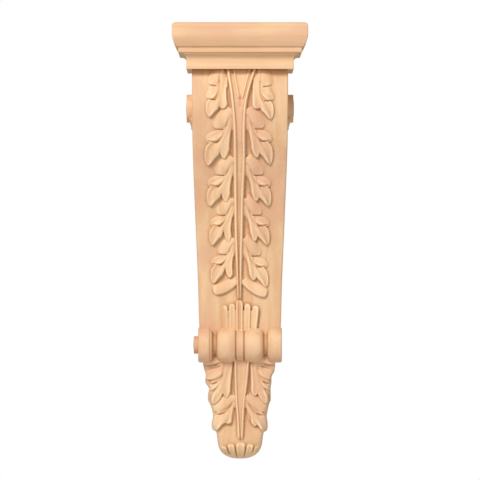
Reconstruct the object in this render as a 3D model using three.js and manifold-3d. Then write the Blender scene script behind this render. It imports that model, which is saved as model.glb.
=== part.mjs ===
// A carved wooden corbel: a long tapering bracket with a leafy stem, a turned roll and a moulded cap.
// X runs across, Y into the wall and Z up. The wall is the plane Y = 0, and the origin is at half height.
import * as THREE from 'three';
import { mergeVertices } from 'three/addons/utils/BufferGeometryUtils.js';
import Module from 'manifold-3d';

// Overall sizes, in millimetres
const TOTAL_HEIGHT = 560;
const JOINT_GAP = 0.3;

// Cap moulding: a convex band, a fillet and a cove, one under the other
const CAP_WIDTH = 172.4;
const CAP_DEPTH = 133;
const CAP_TOP_ROUND = 5;
const CAP_TOP_ROUND_IN = 4.2;
const CAP_BAND_FACE = 11;
const CAP_BAND_TURN_HEIGHT = 14.5;
const CAP_BAND_TURN_IN = 5.6;
const CAP_BAND_CURVE = 1.6;
const CAP_QUIRK = 2.2;
const CAP_FILLET_HEIGHT = 7;
const CAP_FILLET_LIP = 3.4;
const CAP_COVE_HEIGHT = 10;
const CAP_COVE_IN = 6.8;
const CAP_FOOT_HEIGHT = 10.5;

// Bracket body
const BODY_WIDTH = 122.4;
const BODY_DEPTH = 108;
const BODY_EDGE_ROUND = 2;
const TIP_EDGE_ROUND = 9;
const TIP_HEIGHT = 24.6;
const TIP_EXPONENT = 2.3;

// Roll across the bracket, with a collar between two beads and a disc at each end
const ROLL_DIAMETER = 45.5;
const ROLL_LENGTH = 107.6;
const ROLL_REACH = 70;
const ROLL_DISC_LENGTH = 17.6;
const ROLL_DISC_FILLET = 3;
const ROLL_SCOTIA_LENGTH = 5.2;
const ROLL_SCOTIA_DEPTH = 9;
const ROLL_COLLAR_LENGTH = 10.6;
const ROLL_COLLAR_DEPTH = 2.4;
const ROLL_GROOVE_WIDTH = 1.4;
const ROLL_GROOVE_DEPTH = 5.5;
const ROLL_EDGE_ROUND = 1.6;
const BEAD_CREST = 0.4;
const BEAD_INNER_FALL = 0.2;
const BEAD_ROUND = 2.5;

// Scroll eyes: a pair at the top of the sides, and one on the left end of the roll
const EYE_DIAMETER = 36;
const EYE_HEIGHT = 9.4;
const EYE_INSET_FROM_FRONT = 47;
const SMALL_EYE_DIAMETER = 22.6;
const SMALL_EYE_HEIGHT = 7.7;
const EYE_EDGE_ROUND = 1.6;
const EYE_HOLLOW = 1.2;
const EYE_HOLLOW_RADIUS_SHARE = 0.7;

// Snail-like turn round each of the upper eyes. Angles are shares of half a turn, from the front.
const SCROLL_RADIUS = 44;
const SCROLL_INNER_WIDTH = 8;
const SCROLL_OVERLAP = 1;
const SCROLL_RISE = 3.6;
const SCROLL_LOWEST = 0.1;
const SCROLL_ANGLES = [-0.15, 1.78];
const SCROLL_SWELL = [0.2, 0.9];

// Heights of the carving above the ground of the bracket's face
const LEAF_RELIEF = 6.2;
const STEM_RELIEF = 5;
const PALMETTE_RELIEF = 9;
const FLUTE_RELIEF = 4.5;
const CARVING_SINK = 5;

// Levels down the bracket, as shares of its length
const EYE_LEVEL = 0.096;
const FORK_LEVEL = 0.0735;
const ROLL_LEVEL = 0.7025;
const TIP_END = 0.9999;

// Outlines: share of the length, then share of half the body's width or of its depth
const WIDTH_OUTLINE = [
  [0, 1], [0.18, 0.993], [0.33, 0.956], [0.535, 0.89], [0.66, 0.858], [0.7, 0.815],
  [0.745, 0.722], [0.79, 0.664], [0.83, 0.625], [0.866, 0.583], [0.91, 0.53], [0.951, 0.477], [1, 0.46],
];
const DEPTH_OUTLINE = [
  [0, 0.935], [0.04, 0.985], [0.08, 1], [0.12, 0.985], [0.17, 0.935], [0.23, 0.83], [0.305, 0.7],
  [0.385, 0.6], [0.46, 0.535], [0.54, 0.485], [0.62, 0.458], [0.7, 0.445], [0.75, 0.425], [0.81, 0.375],
  [0.86, 0.345], [0.91, 0.335], [0.948, 0.35], [1, 0.34],
];
const TIP_DEPTH_SHARE = 0.2;

// Lobes of a leaf, each from its root to its tip. Across runs from 0 at the stem's edge to 1 at the leaf's
// reach, and down from 0 at the leaf's root to 1 at its tip. Bow lifts the lobe's middle, width is half the
// lobe's own as a share of the reach, and rise is a share of the relief. Peak is where along it a lobe is
// widest, root its width at the start, blunt how round its tip is, and lean lifts its lower edge. Steps are
// the facets along it.
const FINGER = { peak: 0.6, root: 0.6, blunt: 2.3, lean: 0.26, steps: 4 };
const BLADE_SHAPE = { peak: 0.66, root: 0.3, blunt: 1.8, lean: 0.1, steps: 5 };
const DROP_SHAPE = { peak: 0.7, root: 0.45, blunt: 1.8, lean: 0, steps: 4 };
const UPPER = [
  { from: [0, 0.03], to: [0.71, 0.33], bow: 0.06, width: 0.2, rise: 0.72, shape: FINGER },
  { from: [0.16, 0.23], to: [0.89, 0.54], bow: 0.07, width: 0.2, rise: 0.84, shape: FINGER },
  { from: [0.05, 0.14], to: [0.88, 1], bow: 0.05, width: 0.235, rise: 1, shape: BLADE_SHAPE },
];
const TAIL = [
  { from: [0.1, 0.02], to: [1, 0.24], bow: 0.02, width: 0.2, rise: 0.7, shape: FINGER },
  { from: [0.14, 0.2], to: [1, 0.55], bow: 0.04, width: 0.2, rise: 0.78, shape: FINGER },
  { from: [0.2, 0.44], to: [0.98, 0.77], bow: 0.02, width: 0.16, rise: 0.8, shape: FINGER },
  { from: [0.06, 0.14], to: [0.88, 1], bow: 0.02, width: 0.23, rise: 1, shape: BLADE_SHAPE },
];
const LAST = [
  { from: [0.02, 0.08], to: [0.95, 0.44], bow: 0.04, width: 0.21, rise: 0.75, shape: FINGER },
  { from: [0.2, 0.42], to: [0.97, 0.74], bow: 0.02, width: 0.15, rise: 0.8, shape: FINGER },
  { from: [0.1, 0.26], to: [0.88, 1], bow: 0.02, width: 0.22, rise: 1, shape: BLADE_SHAPE },
];
const LOBE_ACROSS = [-1, -0.6, 0, 0.6, 1];
const LOBE_CROWN = 0.6;
const LOBE_START = 0.5;
const LOBE_TIP_WIDTH = 0.2;
const DROP = { from: [0.12, 0.2], bow: 0.04, width: 0.16, rise: 1.05, shape: DROP_SHAPE };

// Leaves from top to bottom. Root and tip are levels, reach is a share of the body's half width at the
// leaf's tip, and drop is the tip of the inner lobe, across and down as for the lobes. Pairs are left, right.
const LEAVES = [
  { lobes: UPPER, root: -0.006, tip: [0.121, 0.127], reach: [0.7, 0.7], drop: [[0.35, 0.84], [0.4, 0.8]] },
  { lobes: UPPER, root: 0.097, tip: [0.242, 0.239], reach: [0.75, 0.7], drop: [[0.33, 0.89], [0.4, 0.89]] },
  { lobes: UPPER, root: 0.22, tip: [0.345, 0.345], reach: [0.73, 0.7], drop: [[0.3, 0.93], [0.44, 0.91]] },
  { lobes: UPPER, root: 0.323, tip: [0.445, 0.445], reach: [0.7, 0.69], drop: [[0.25, 0.95], [0.43, 0.93]] },
  { lobes: UPPER, root: 0.425, tip: [0.543, 0.553], reach: [0.7, 0.69], drop: [[0.25, 0.89], [0.43, 0.87]] },
  { lobes: TAIL, root: 0.72, tip: [0.856, 0.854], reach: [1.06, 1.03], drop: [[0.33, 0.88], [0.35, 0.86]] },
  { lobes: LAST, root: 0.832, tip: [0.923, 0.926], reach: [1.08, 1.07], drop: [[0.37, 0.82], [0.48, 0.86]] },
];

// The pair of plain blades at the foot of the stem: levels, reach, and half width in millimetres
const FOOT_BLADE = {
  root: 0.528, tip: [0.561, 0.568], reach: [0.64, 0.65], width: 7.8, rise: 0.75, bow: 0.08,
  shape: { peak: 0.7, root: 0.5, blunt: 3, lean: 0.14, steps: 5 },
};

// Edges of the forked stem and of the tail's stem: level, then place across in millimetres
const STEM_LEFT = [
  [-0.01, -17.6], [FORK_LEVEL, -10.8], [0.144, -7.6], [0.229, -6.8],
  [0.33, -6.7], [0.433, -6.1], [0.51, -4.5], [0.588, -3],
];
const STEM_RIGHT = [
  [-0.01, 21.3], [FORK_LEVEL, 8.9], [0.144, 6], [0.229, 5.9],
  [0.33, 3.5], [0.433, 2.8], [0.51, 1.7], [0.588, 1.2],
];
const FORK_LEFT = [[-0.01, -7.2], [0.03, -3.7], [FORK_LEVEL, 0]];
const FORK_RIGHT = [[-0.01, 11.6], [0.03, 6.4], [FORK_LEVEL, 1]];
const TAIL_LEFT = [[0.72, -8.4], [0.747, -7.4], [0.819, -4.6], [0.883, -2.6], [0.945, -0.6]];
const TAIL_RIGHT = [[0.72, 10.8], [0.747, 9.8], [0.809, 7.1], [0.872, 3.9], [0.945, 2.7]];
const RAIL_WIDTH = 2.6;
const RAIL_CROWN = 0.5;
const STEM_FLOOR = 2.4;
const ARM_FLOOR = 2.33;
const FORK_OVERLAP = 0.006;

// Palmette on top of the roll: tip level, foot and tip across, half width, all but the level in millimetres
const PALMETTE = [
  [0.603, -14.6, -17, 4.6], [0.5975, -8.2, -9.2, 5], [0.591, 0.2, 0, 5.6],
  [0.5975, 8.6, 9, 5], [0.603, 15.6, 18.4, 5.2],
];
const PALMETTE_FOOT = 0.668;
const PALMETTE_SHAPE = { peak: 0.78, root: 0.8, blunt: 2.2, lean: 0, steps: 4 };

// Flutes round the tip: middle and half width as shares of the bracket's half width there, and the level
// where the flute's round top starts
const FLUTES = [
  [-0.79, 0.21, 0.963], [-0.41, 0.18, 0.957], [0.03, 0.27, 0.953],
  [0.465, 0.175, 0.957], [0.815, 0.185, 0.963],
];
const FLUTE_END = 0.997;
const FLUTE_TOP_WIDTH = 0.4;
const FLUTE_CROWN = 0.8;

// Steps of the faceted surfaces
const BODY_ROWS = 24;
const FLUTE_STEPS = 4;
const SCROLL_STEPS = 12;
const ROLL_SIDES = 18;
const BEAD_STEPS = 5;
const EYE_SIDES = 12;
const ARC_STEPS = 4;
const TIP_STEPS = 7;

// Raw sanded wood
const CAP_WOOD = 0xeecb9f;
const BODY_WOOD = 0xedc5a0;
const WOOD_ROUGHNESS = 0.62;

// Points of a joined surface that lie closer together than this are one point
const WELD = 0.05;

const bodyTop = TOTAL_HEIGHT / 2 - capHeight() - JOINT_GAP;
const bodyLength = bodyTop + TOTAL_HEIGHT / 2;
const tipStart = 1 - TIP_HEIGHT / bodyLength;
const rollRadius = ROLL_DIAMETER / 2;
const rollAxisDepth = ROLL_REACH - rollRadius;

const wasm = await Module();
wasm.setup();

function capHeight() {
  return CAP_TOP_ROUND + CAP_BAND_FACE + CAP_BAND_TURN_HEIGHT + CAP_FILLET_HEIGHT + CAP_COVE_HEIGHT
    + CAP_FOOT_HEIGHT;
}

// Level on the bracket, from 0 at its top to 1 at its tip, as a height
function heightAt(level) {
  return bodyTop - level * bodyLength;
}

// Smooth curve through stations of [place, value], with end slopes taken from the end spans
function through(stations, place) {
  const last = stations.length - 1;
  let i = 0;
  while (i < last - 1 && place > stations[i + 1][0]) i += 1;
  const slope = (k) => {
    const low = stations[Math.max(k - 1, 0)];
    const high = stations[Math.min(k + 1, last)];
    return (high[1] - low[1]) / (high[0] - low[0]);
  };
  const span = stations[i + 1][0] - stations[i][0];
  const t = (place - stations[i][0]) / span;
  const rise = 3 * t * t - 2 * t * t * t;
  const start = t - 2 * t * t + t * t * t;
  const finish = t * t * t - t * t;
  const bend = span * (slope(i) * start + slope(i + 1) * finish);
  return THREE.MathUtils.lerp(stations[i][1], stations[i + 1][1], rise) + bend;
}

// How much of the section is left in the rounded tip, from 1 down to 0
function tipRound(level) {
  const t = THREE.MathUtils.clamp((level - tipStart) / (1 - tipStart), 0, 1);
  return (1 - t ** TIP_EXPONENT) ** (1 / TIP_EXPONENT);
}

function halfWidth(level) {
  return through(WIDTH_OUTLINE, level) * (BODY_WIDTH / 2) * tipRound(level);
}

function depth(level) {
  const left = TIP_DEPTH_SHARE + (1 - TIP_DEPTH_SHARE) * tipRound(level);
  return through(DEPTH_OUTLINE, level) * BODY_DEPTH * left;
}

// Closed solid from rings of points, one after the other, with a fan from the first point at each end
function solidFromRings(rings) {
  const count = rings[0].length;
  const positions = rings.flat().flatMap((p) => [p.x, p.y, p.z]);
  const faces = [];
  for (let r = 0; r < rings.length - 1; r += 1) {
    for (let i = 0; i < count; i += 1) {
      const a = r * count + i;
      const b = r * count + (i + 1) % count;
      faces.push(a, b, b + count, a, b + count, a + count);
    }
  }
  const end = (rings.length - 1) * count;
  for (let i = 1; i < count - 1; i += 1) {
    faces.push(0, i + 1, i, end, end + i, end + i + 1);
  }
  return solidFromFaces(positions, faces);
}

// Turns the faces outwards where the rings ran the other way round
function solidFromFaces(positions, faces) {
  const corner = (k) => new THREE.Vector3().fromArray(positions, faces[k] * 3);
  let volume = 0;
  for (let k = 0; k < faces.length; k += 3) {
    volume += corner(k).dot(corner(k + 1).cross(corner(k + 2)));
  }
  const outward = volume > 0 ? faces : faces.slice().reverse();
  return new wasm.Manifold(new wasm.Mesh({
    numProp: 3,
    vertProperties: Float32Array.from(positions),
    triVerts: Uint32Array.from(outward),
    tolerance: WELD,
  }));
}

// Closed solid from one of the library's own geometries, once its seams are merged
function solidFromGeometry(geometry) {
  geometry.deleteAttribute('normal');
  geometry.deleteAttribute('uv');
  const merged = mergeVertices(geometry);
  return solidFromFaces(Array.from(merged.attributes.position.array), Array.from(merged.index.array));
}

// The cap's side view: distance in from its widest line, and distance down from its top
function capProfile() {
  const points = [];
  for (let i = 0; i <= ARC_STEPS; i += 1) {
    const turn = (i / ARC_STEPS) * (Math.PI / 2);
    points.push([CAP_TOP_ROUND_IN * (1 - Math.sin(turn)), CAP_TOP_ROUND * (1 - Math.cos(turn))]);
  }
  let inset = 0;
  let drop = CAP_TOP_ROUND + CAP_BAND_FACE;
  for (let i = 0; i <= ARC_STEPS; i += 1) {
    const share = i / ARC_STEPS;
    points.push([CAP_BAND_TURN_IN * share ** CAP_BAND_CURVE, drop + CAP_BAND_TURN_HEIGHT * share]);
  }
  inset += CAP_BAND_TURN_IN + CAP_QUIRK;
  drop += CAP_BAND_TURN_HEIGHT;
  points.push([inset, drop]);
  drop += CAP_FILLET_HEIGHT;
  points.push([inset, drop]);
  inset += CAP_FILLET_LIP;
  for (let i = 0; i <= ARC_STEPS; i += 1) {
    const turn = (i / ARC_STEPS) * (Math.PI / 2);
    points.push([inset + CAP_COVE_IN * Math.sin(turn), drop + CAP_COVE_HEIGHT * (1 - Math.cos(turn))]);
  }
  points.push([inset + CAP_COVE_IN, capHeight()]);
  return points;
}

function capMoulding() {
  const rings = capProfile().map(([inset, drop]) => {
    const x = CAP_WIDTH / 2 - inset;
    const front = -(CAP_DEPTH - inset);
    const z = TOTAL_HEIGHT / 2 - drop;
    return [[-x, 0], [-x, front], [x, front], [x, 0]].map(([px, py]) => new THREE.Vector3(px, py, z));
  });
  return solidFromRings(rings);
}

// One level section of the bracket: flat at the wall, with its two front edges rounded
function bodySection(level) {
  const x = halfWidth(level);
  const y = depth(level);
  const blend = THREE.MathUtils.smoothstep(level, ROLL_LEVEL, 1);
  const wanted = THREE.MathUtils.lerp(BODY_EDGE_ROUND, TIP_EDGE_ROUND, blend);
  const round = Math.min(wanted, Math.min(x, y) / 2);
  const z = heightAt(level);
  const half = [];
  for (let i = 0; i <= ARC_STEPS / 2; i += 1) {
    const turn = (i / (ARC_STEPS / 2)) * (Math.PI / 2);
    half.push([x - round * (1 - Math.cos(turn)), -(y - round * (1 - Math.sin(turn)))]);
  }
  const right = [[x, 0], ...half];
  const left = right.map(([px, py]) => [-px, py]).reverse();
  return [...right, ...left].map(([px, py]) => new THREE.Vector3(px, py, z));
}

function bracket() {
  const levels = [];
  for (let i = 0; i <= BODY_ROWS; i += 1) levels.push((i / BODY_ROWS) * tipStart);
  for (let i = 1; i <= TIP_STEPS; i += 1) {
    const turn = (i / TIP_STEPS) * (Math.PI / 2);
    levels.push(tipStart + (TIP_END - tipStart) * Math.sin(turn));
  }
  return solidFromRings(levels.map(bodySection));
}

// Carving on the bracket's face: stations of {x, z, side: [x, z], half} swept with a section across.
// The section is a list of [place across from -1 to 1, height as a share of the relief].
function carve(stations, section, relief) {
  const rings = stations.map((s) => {
    const top = section.map(([across, rise]) => [across, rise * relief * s.swell]);
    const outline = [[0, -CARVING_SINK], [-1, -CARVING_SINK], ...top, [1, -CARVING_SINK]];
    return outline.map(([across, up]) => {
      const x = s.x + s.side[0] * s.half * across;
      const z = s.z + s.side[1] * s.half * across;
      const level = THREE.MathUtils.clamp((bodyTop - z) / bodyLength, 0, 1);
      return new THREE.Vector3(x, -(depth(level) + up), Math.min(z, bodyTop));
    });
  });
  return solidFromRings(rings);
}

// Width along a lobe, as a share of its widest: swelling from the root to the peak, then closing to the tip
function lobeWidth(t, shape) {
  if (t < shape.peak) {
    return THREE.MathUtils.lerp(shape.root, 1, Math.sin((t / shape.peak) * (Math.PI / 2)));
  }
  const left = (t - shape.peak) / (1 - shape.peak);
  return Math.max((1 - left ** shape.blunt) ** (1 / shape.blunt), LOBE_TIP_WIDTH);
}

// A lobe with a crowned top along a curve through its spine points. Its lower edge leans up: the one on the
// inside of the bend on the left of the stem, where side is -1, and the other on the right.
function lobe(spine, half, relief, shape, side) {
  const curve = new THREE.SplineCurve(spine.map(([x, z]) => new THREE.Vector2(x, z)));
  const stations = [];
  for (let i = 0; i <= shape.steps; i += 1) {
    const t = 1 - (1 - i / shape.steps) ** 2;
    const place = curve.getPoint(t);
    const along = curve.getTangent(t);
    stations.push({
      x: place.x,
      z: place.y,
      side: [-along.y, along.x],
      half: half * lobeWidth(t, shape),
      swell: THREE.MathUtils.lerp(LOBE_START, 1, Math.sin(Math.min(t / shape.peak, 1) * (Math.PI / 2))),
    });
  }
  const section = LOBE_ACROSS.map((a) => [a, 1 - LOBE_CROWN * a * a - side * shape.lean * a]);
  return carve(stations, section, relief);
}

// Spine from one point to another, both [x, z], with its middle lifted by bow times its own height or length
function bowed(from, to, bow) {
  const lift = bow * Math.hypot(to[0] - from[0], to[1] - from[1]);
  const between = (share) => [
    THREE.MathUtils.lerp(from[0], to[0], share),
    THREE.MathUtils.lerp(from[1], to[1], share) + lift * Math.sin(share * Math.PI),
  ];
  return [0, 0.35, 0.7, 1].map(between);
}

// The lobes of one leaf on one side: side is -1 for the left and 1 for the right
function leafLobes(leaf, side) {
  const pick = side < 0 ? 0 : 1;
  const tipLevel = leaf.tip[pick];
  const reach = leaf.reach[pick] * halfWidth(tipLevel);
  const place = ([across, down]) => {
    const level = THREE.MathUtils.lerp(leaf.root, tipLevel, down);
    const stemEdge = Math.abs(through(stemEdgeOf(level, side), level));
    const taper = halfWidth(level) / halfWidth(tipLevel);
    return [side * THREE.MathUtils.lerp(stemEdge, reach * taper, across), heightAt(level)];
  };
  return [...leaf.lobes, { ...DROP, to: leaf.drop[pick] }].map((l) => {
    const spine = bowed(place(l.from), place(l.to), l.bow);
    return lobe(spine, l.width * reach, l.rise * LEAF_RELIEF, l.shape, side);
  });
}

function stemEdgeOf(level, side) {
  if (level > ROLL_LEVEL) return side < 0 ? TAIL_LEFT : TAIL_RIGHT;
  return side < 0 ? STEM_LEFT : STEM_RIGHT;
}

function footBlade(side) {
  const pick = side < 0 ? 0 : 1;
  const reach = FOOT_BLADE.reach[pick] * halfWidth(FOOT_BLADE.tip[pick]);
  const tip = [side * reach, heightAt(FOOT_BLADE.tip[pick])];
  const spine = bowed([0, heightAt(FOOT_BLADE.root)], tip, -FOOT_BLADE.bow);
  return lobe(spine, FOOT_BLADE.width, FOOT_BLADE.rise * LEAF_RELIEF, FOOT_BLADE.shape, side);
}

// A strip down the face between two edges, each a list of [level, place across], and inset from both
function strip(levels, leftEdge, rightEdge, inset, section, relief) {
  const stations = levels.map((level) => {
    const left = through(leftEdge, level) + inset;
    const right = through(rightEdge, level) - inset;
    return { x: (left + right) / 2, z: heightAt(level), side: [1, 0], half: (right - left) / 2, swell: 1 };
  });
  return carve(stations, section, relief);
}

// A rounded rail inside an edge: inward is 1 where the stem lies to the right of the edge, or else -1
function rail(edge, inward) {
  const other = edge.map(([level, x]) => [level, x + inward * RAIL_WIDTH]);
  const [left, right] = inward > 0 ? [edge, other] : [other, edge];
  const section = [[-1, RAIL_CROWN], [0, 1], [1, RAIL_CROWN]];
  return strip(edge.map(([level]) => level), left, right, 0, section, STEM_RELIEF);
}

// The sunk floor of the stem between two edges, under the rails
function stemFloor(levels, leftEdge, rightEdge, height) {
  return strip(levels, leftEdge, rightEdge, RAIL_WIDTH / 2, [[-1, 1], [1, 1]], height);
}

// The stem: a flat-bottomed channel between two rails, forked at the top
function stem() {
  const arms = FORK_LEFT.map(([level]) => level);
  const trunk = STEM_LEFT.map(([level]) => level).filter((level) => level >= FORK_LEVEL);
  const tail = TAIL_LEFT.map(([level]) => level);
  return [
    stemFloor(arms, STEM_LEFT, FORK_LEFT, ARM_FLOOR),
    stemFloor(arms, FORK_RIGHT, STEM_RIGHT, ARM_FLOOR),
    stemFloor([FORK_LEVEL - FORK_OVERLAP, ...trunk], STEM_LEFT, STEM_RIGHT, STEM_FLOOR),
    stemFloor(tail, TAIL_LEFT, TAIL_RIGHT, STEM_FLOOR),
    rail(STEM_LEFT, 1), rail(STEM_RIGHT, -1), rail(FORK_LEFT, -1), rail(FORK_RIGHT, 1),
    rail(TAIL_LEFT, 1), rail(TAIL_RIGHT, -1),
  ];
}

function palmette() {
  return PALMETTE.map(([tip, footX, tipX, half]) => {
    const spine = bowed([footX, heightAt(PALMETTE_FOOT)], [tipX, heightAt(tip)], 0);
    return lobe(spine, half, PALMETTE_RELIEF, PALMETTE_SHAPE, 0);
  });
}

// The flutes follow the rounded tip and are drawn together with it
function flutes() {
  const section = LOBE_ACROSS.map((a) => [a, 1 - FLUTE_CROWN * a * a]);
  return FLUTES.map(([middle, half, top]) => {
    const stations = [];
    for (let i = 0; i <= FLUTE_STEPS; i += 1) {
      const t = i / FLUTE_STEPS;
      const level = THREE.MathUtils.lerp(top, FLUTE_END, 1 - Math.cos(t * (Math.PI / 2)));
      const room = halfWidth(level);
      const opening = Math.sin(Math.min(2 * t, 1) * (Math.PI / 2));
      stations.push({
        x: middle * room,
        z: heightAt(level),
        side: [1, 0],
        half: half * room * THREE.MathUtils.lerp(FLUTE_TOP_WIDTH, 1, opening),
        swell: THREE.MathUtils.lerp(FLUTE_TOP_WIDTH, 1, opening) * (1 - t * t / 2),
      });
    }
    return carve(stations, section, FLUTE_RELIEF);
  });
}

// Turns a profile of [distance along, radius] into a solid of revolution about a line across the bracket
function turned(profile, sides, yAxis, z) {
  const points = profile.map(([along, radius]) => new THREE.Vector2(radius, along));
  const geometry = new THREE.LatheGeometry(points, sides);
  geometry.rotateZ(-Math.PI / 2);
  geometry.translate(0, yAxis, z);
  return solidFromGeometry(geometry);
}

// Half of the roll's profile from the middle out, mirrored to the other half
function rollProfile() {
  const half = ROLL_LENGTH / 2;
  const discStart = half - ROLL_DISC_LENGTH;
  const beadEnd = discStart - ROLL_SCOTIA_LENGTH;
  const collar = ROLL_COLLAR_LENGTH / 2;
  const beadStart = collar + ROLL_GROOVE_WIDTH;
  const groove = rollRadius - ROLL_GROOVE_DEPTH;
  const neck = rollRadius - ROLL_SCOTIA_DEPTH;
  const right = [[collar - ROLL_GROOVE_WIDTH, rollRadius - ROLL_COLLAR_DEPTH], [collar, groove]];
  for (let i = 0; i <= BEAD_STEPS; i += 1) {
    const t = i / BEAD_STEPS;
    const curve = t < BEAD_CREST
      ? BEAD_INNER_FALL * (1 - t / BEAD_CREST) ** 2
      : 1 - (1 - ((t - BEAD_CREST) / (1 - BEAD_CREST)) ** BEAD_ROUND) ** (1 / BEAD_ROUND);
    right.push([THREE.MathUtils.lerp(beadStart, beadEnd, t), rollRadius - curve * (rollRadius - neck)]);
  }
  right.push([discStart - ROLL_GROOVE_WIDTH, neck]);
  right.push([discStart, rollRadius - ROLL_DISC_FILLET]);
  right.push([discStart + ROLL_DISC_FILLET, rollRadius - ROLL_EDGE_ROUND]);
  right.push([discStart + ROLL_DISC_FILLET, rollRadius], [half - ROLL_EDGE_ROUND, rollRadius]);
  right.push([half, rollRadius - ROLL_EDGE_ROUND], [half, 0]);
  const left = right.map(([along, radius]) => [-along, radius]).reverse();
  return [...left, ...right];
}

// A round boss standing on a side face, with a rounded rim and a slightly hollow face
function eye(side, from, radius, height, yAxis, z) {
  const end = from + height;
  const profile = [
    [from - CARVING_SINK, 0], [from - CARVING_SINK, radius], [end - EYE_EDGE_ROUND, radius],
    [end, radius - EYE_EDGE_ROUND], [end, radius * EYE_HOLLOW_RADIUS_SHARE], [end - EYE_HOLLOW, 0],
  ];
  return turned(profile.map(([along, r]) => [side * along, r]), EYE_SIDES, yAxis, z);
}

// The snail-like turn round a scroll eye: it rises from the side face as it winds in
function scrollTurn(side) {
  const centreY = -(depth(EYE_LEVEL) - EYE_INSET_FROM_FRONT);
  const centreZ = heightAt(EYE_LEVEL);
  const inner = EYE_DIAMETER / 2 - SCROLL_OVERLAP;
  const rings = [];
  for (let i = 0; i <= SCROLL_STEPS; i += 1) {
    const t = i / SCROLL_STEPS;
    const turn = THREE.MathUtils.lerp(...SCROLL_ANGLES, t) * Math.PI;
    const outer = THREE.MathUtils.lerp(SCROLL_RADIUS, inner + SCROLL_INNER_WIDTH, t);
    const rise = SCROLL_LOWEST * 2 + SCROLL_RISE * THREE.MathUtils.smoothstep(t, ...SCROLL_SWELL);
    const middle = (inner + outer) / 2;
    const top = [[inner, rise], [middle, rise / 2], [outer, SCROLL_LOWEST]];
    const ring = [[inner, -CARVING_SINK], ...top, [outer, -CARVING_SINK]];
    rings.push(ring.map(([radius, up]) => {
      const z = centreZ + radius * Math.sin(turn);
      const level = (bodyTop - z) / bodyLength;
      return new THREE.Vector3(side * (halfWidth(level) + up), centreY - radius * Math.cos(turn), z);
    }));
  }
  return solidFromRings(rings);
}

function carvedBody() {
  const eyeZ = heightAt(EYE_LEVEL);
  const eyeY = -(depth(EYE_LEVEL) - EYE_INSET_FROM_FRONT);
  const rollZ = heightAt(ROLL_LEVEL);
  const pieces = [turned(rollProfile(), ROLL_SIDES, -rollAxisDepth, rollZ)];
  for (const side of [-1, 1]) {
    pieces.push(eye(side, halfWidth(EYE_LEVEL), EYE_DIAMETER / 2, EYE_HEIGHT, eyeY, eyeZ));
    pieces.push(scrollTurn(side));
    for (const leaf of LEAVES) pieces.push(...leafLobes(leaf, side));
    pieces.push(footBlade(side));
  }
  pieces.push(eye(-1, ROLL_LENGTH / 2, SMALL_EYE_DIAMETER / 2, SMALL_EYE_HEIGHT, -rollAxisDepth, rollZ));
  pieces.push(...stem(), ...palmette(), ...flutes());
  return pieces.reduce((whole, piece) => whole.add(piece), bracket());
}

function meshFrom(name, solid, material) {
  const { vertProperties, triVerts } = solid.getMesh();
  const geometry = new THREE.BufferGeometry();
  geometry.setAttribute('position', new THREE.BufferAttribute(vertProperties, 3));
  geometry.setIndex(new THREE.BufferAttribute(triVerts, 1));
  geometry.computeVertexNormals();
  const mesh = new THREE.Mesh(geometry, material);
  mesh.name = name;
  return mesh;
}

function rawWood(color) {
  const finish = { color, roughness: WOOD_ROUGHNESS, metalness: 0, flatShading: true };
  return new THREE.MeshStandardMaterial(finish);
}

const corbel = new THREE.Group();
corbel.add(meshFrom('cap_moulding', capMoulding(), rawWood(CAP_WOOD)));
corbel.add(meshFrom('carved_body', carvedBody(), rawWood(BODY_WOOD)));

export default corbel;
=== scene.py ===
"""A carved wooden corbel bracket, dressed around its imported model, in a plain pale studio."""

import logging
import math
from dataclasses import dataclass
from enum import Enum
from typing import ClassVar

import bpy
import numpy as np
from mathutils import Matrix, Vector


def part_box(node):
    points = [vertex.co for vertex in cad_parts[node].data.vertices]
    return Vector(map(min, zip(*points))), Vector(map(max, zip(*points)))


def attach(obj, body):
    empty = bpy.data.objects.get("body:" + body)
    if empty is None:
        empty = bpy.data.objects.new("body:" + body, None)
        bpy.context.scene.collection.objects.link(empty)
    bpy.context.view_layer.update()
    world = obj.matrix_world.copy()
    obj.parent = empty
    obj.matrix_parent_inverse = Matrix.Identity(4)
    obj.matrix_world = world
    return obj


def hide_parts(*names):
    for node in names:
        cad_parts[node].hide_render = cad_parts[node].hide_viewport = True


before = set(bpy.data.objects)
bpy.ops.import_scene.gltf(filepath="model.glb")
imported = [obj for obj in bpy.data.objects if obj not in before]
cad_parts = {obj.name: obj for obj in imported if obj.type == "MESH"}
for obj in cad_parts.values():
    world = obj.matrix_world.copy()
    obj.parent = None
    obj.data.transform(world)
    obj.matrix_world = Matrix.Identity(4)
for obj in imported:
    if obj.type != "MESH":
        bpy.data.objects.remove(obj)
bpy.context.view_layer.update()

MM = 0.001
TINY = 0.01
SLIVER = 1e-6
MIX_FROM, MIX_TO, MIX_RESULT = 6, 7, 2
LOG = logging.getLogger("corbel")
SOCKETS = {
    float: "NodeSocketFloat", int: "NodeSocketInt", tuple: "NodeSocketVector",
    bpy.types.Material: "NodeSocketMaterial",
}


class Grain(Enum):
    """The axis that the wood's fibres run along."""

    ACROSS = 0
    DOWN = 2


class Side(Enum):
    """Left or right of the stem, as the sign of x."""

    LEFT = -1
    RIGHT = 1

    @property
    def pick(self) -> int:
        """Gives this side's place in a pair of values, left before right."""
        return 0 if self is Side.LEFT else 1


def linear(colour: str) -> tuple[float, float, float, float]:
    """Turns an sRGB hex colour into linear values.

    Args:
        colour: Six hex digits after a hash.

    Returns:
        Red, green, blue and alpha.
    """
    shares = [int(colour[i:i + 2], 16) / 255 for i in (1, 3, 5)]
    return (*[c / 12.92 if c <= 0.04045 else ((c + 0.055) / 1.055) ** 2.4 for c in shares], 1.0)


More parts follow.
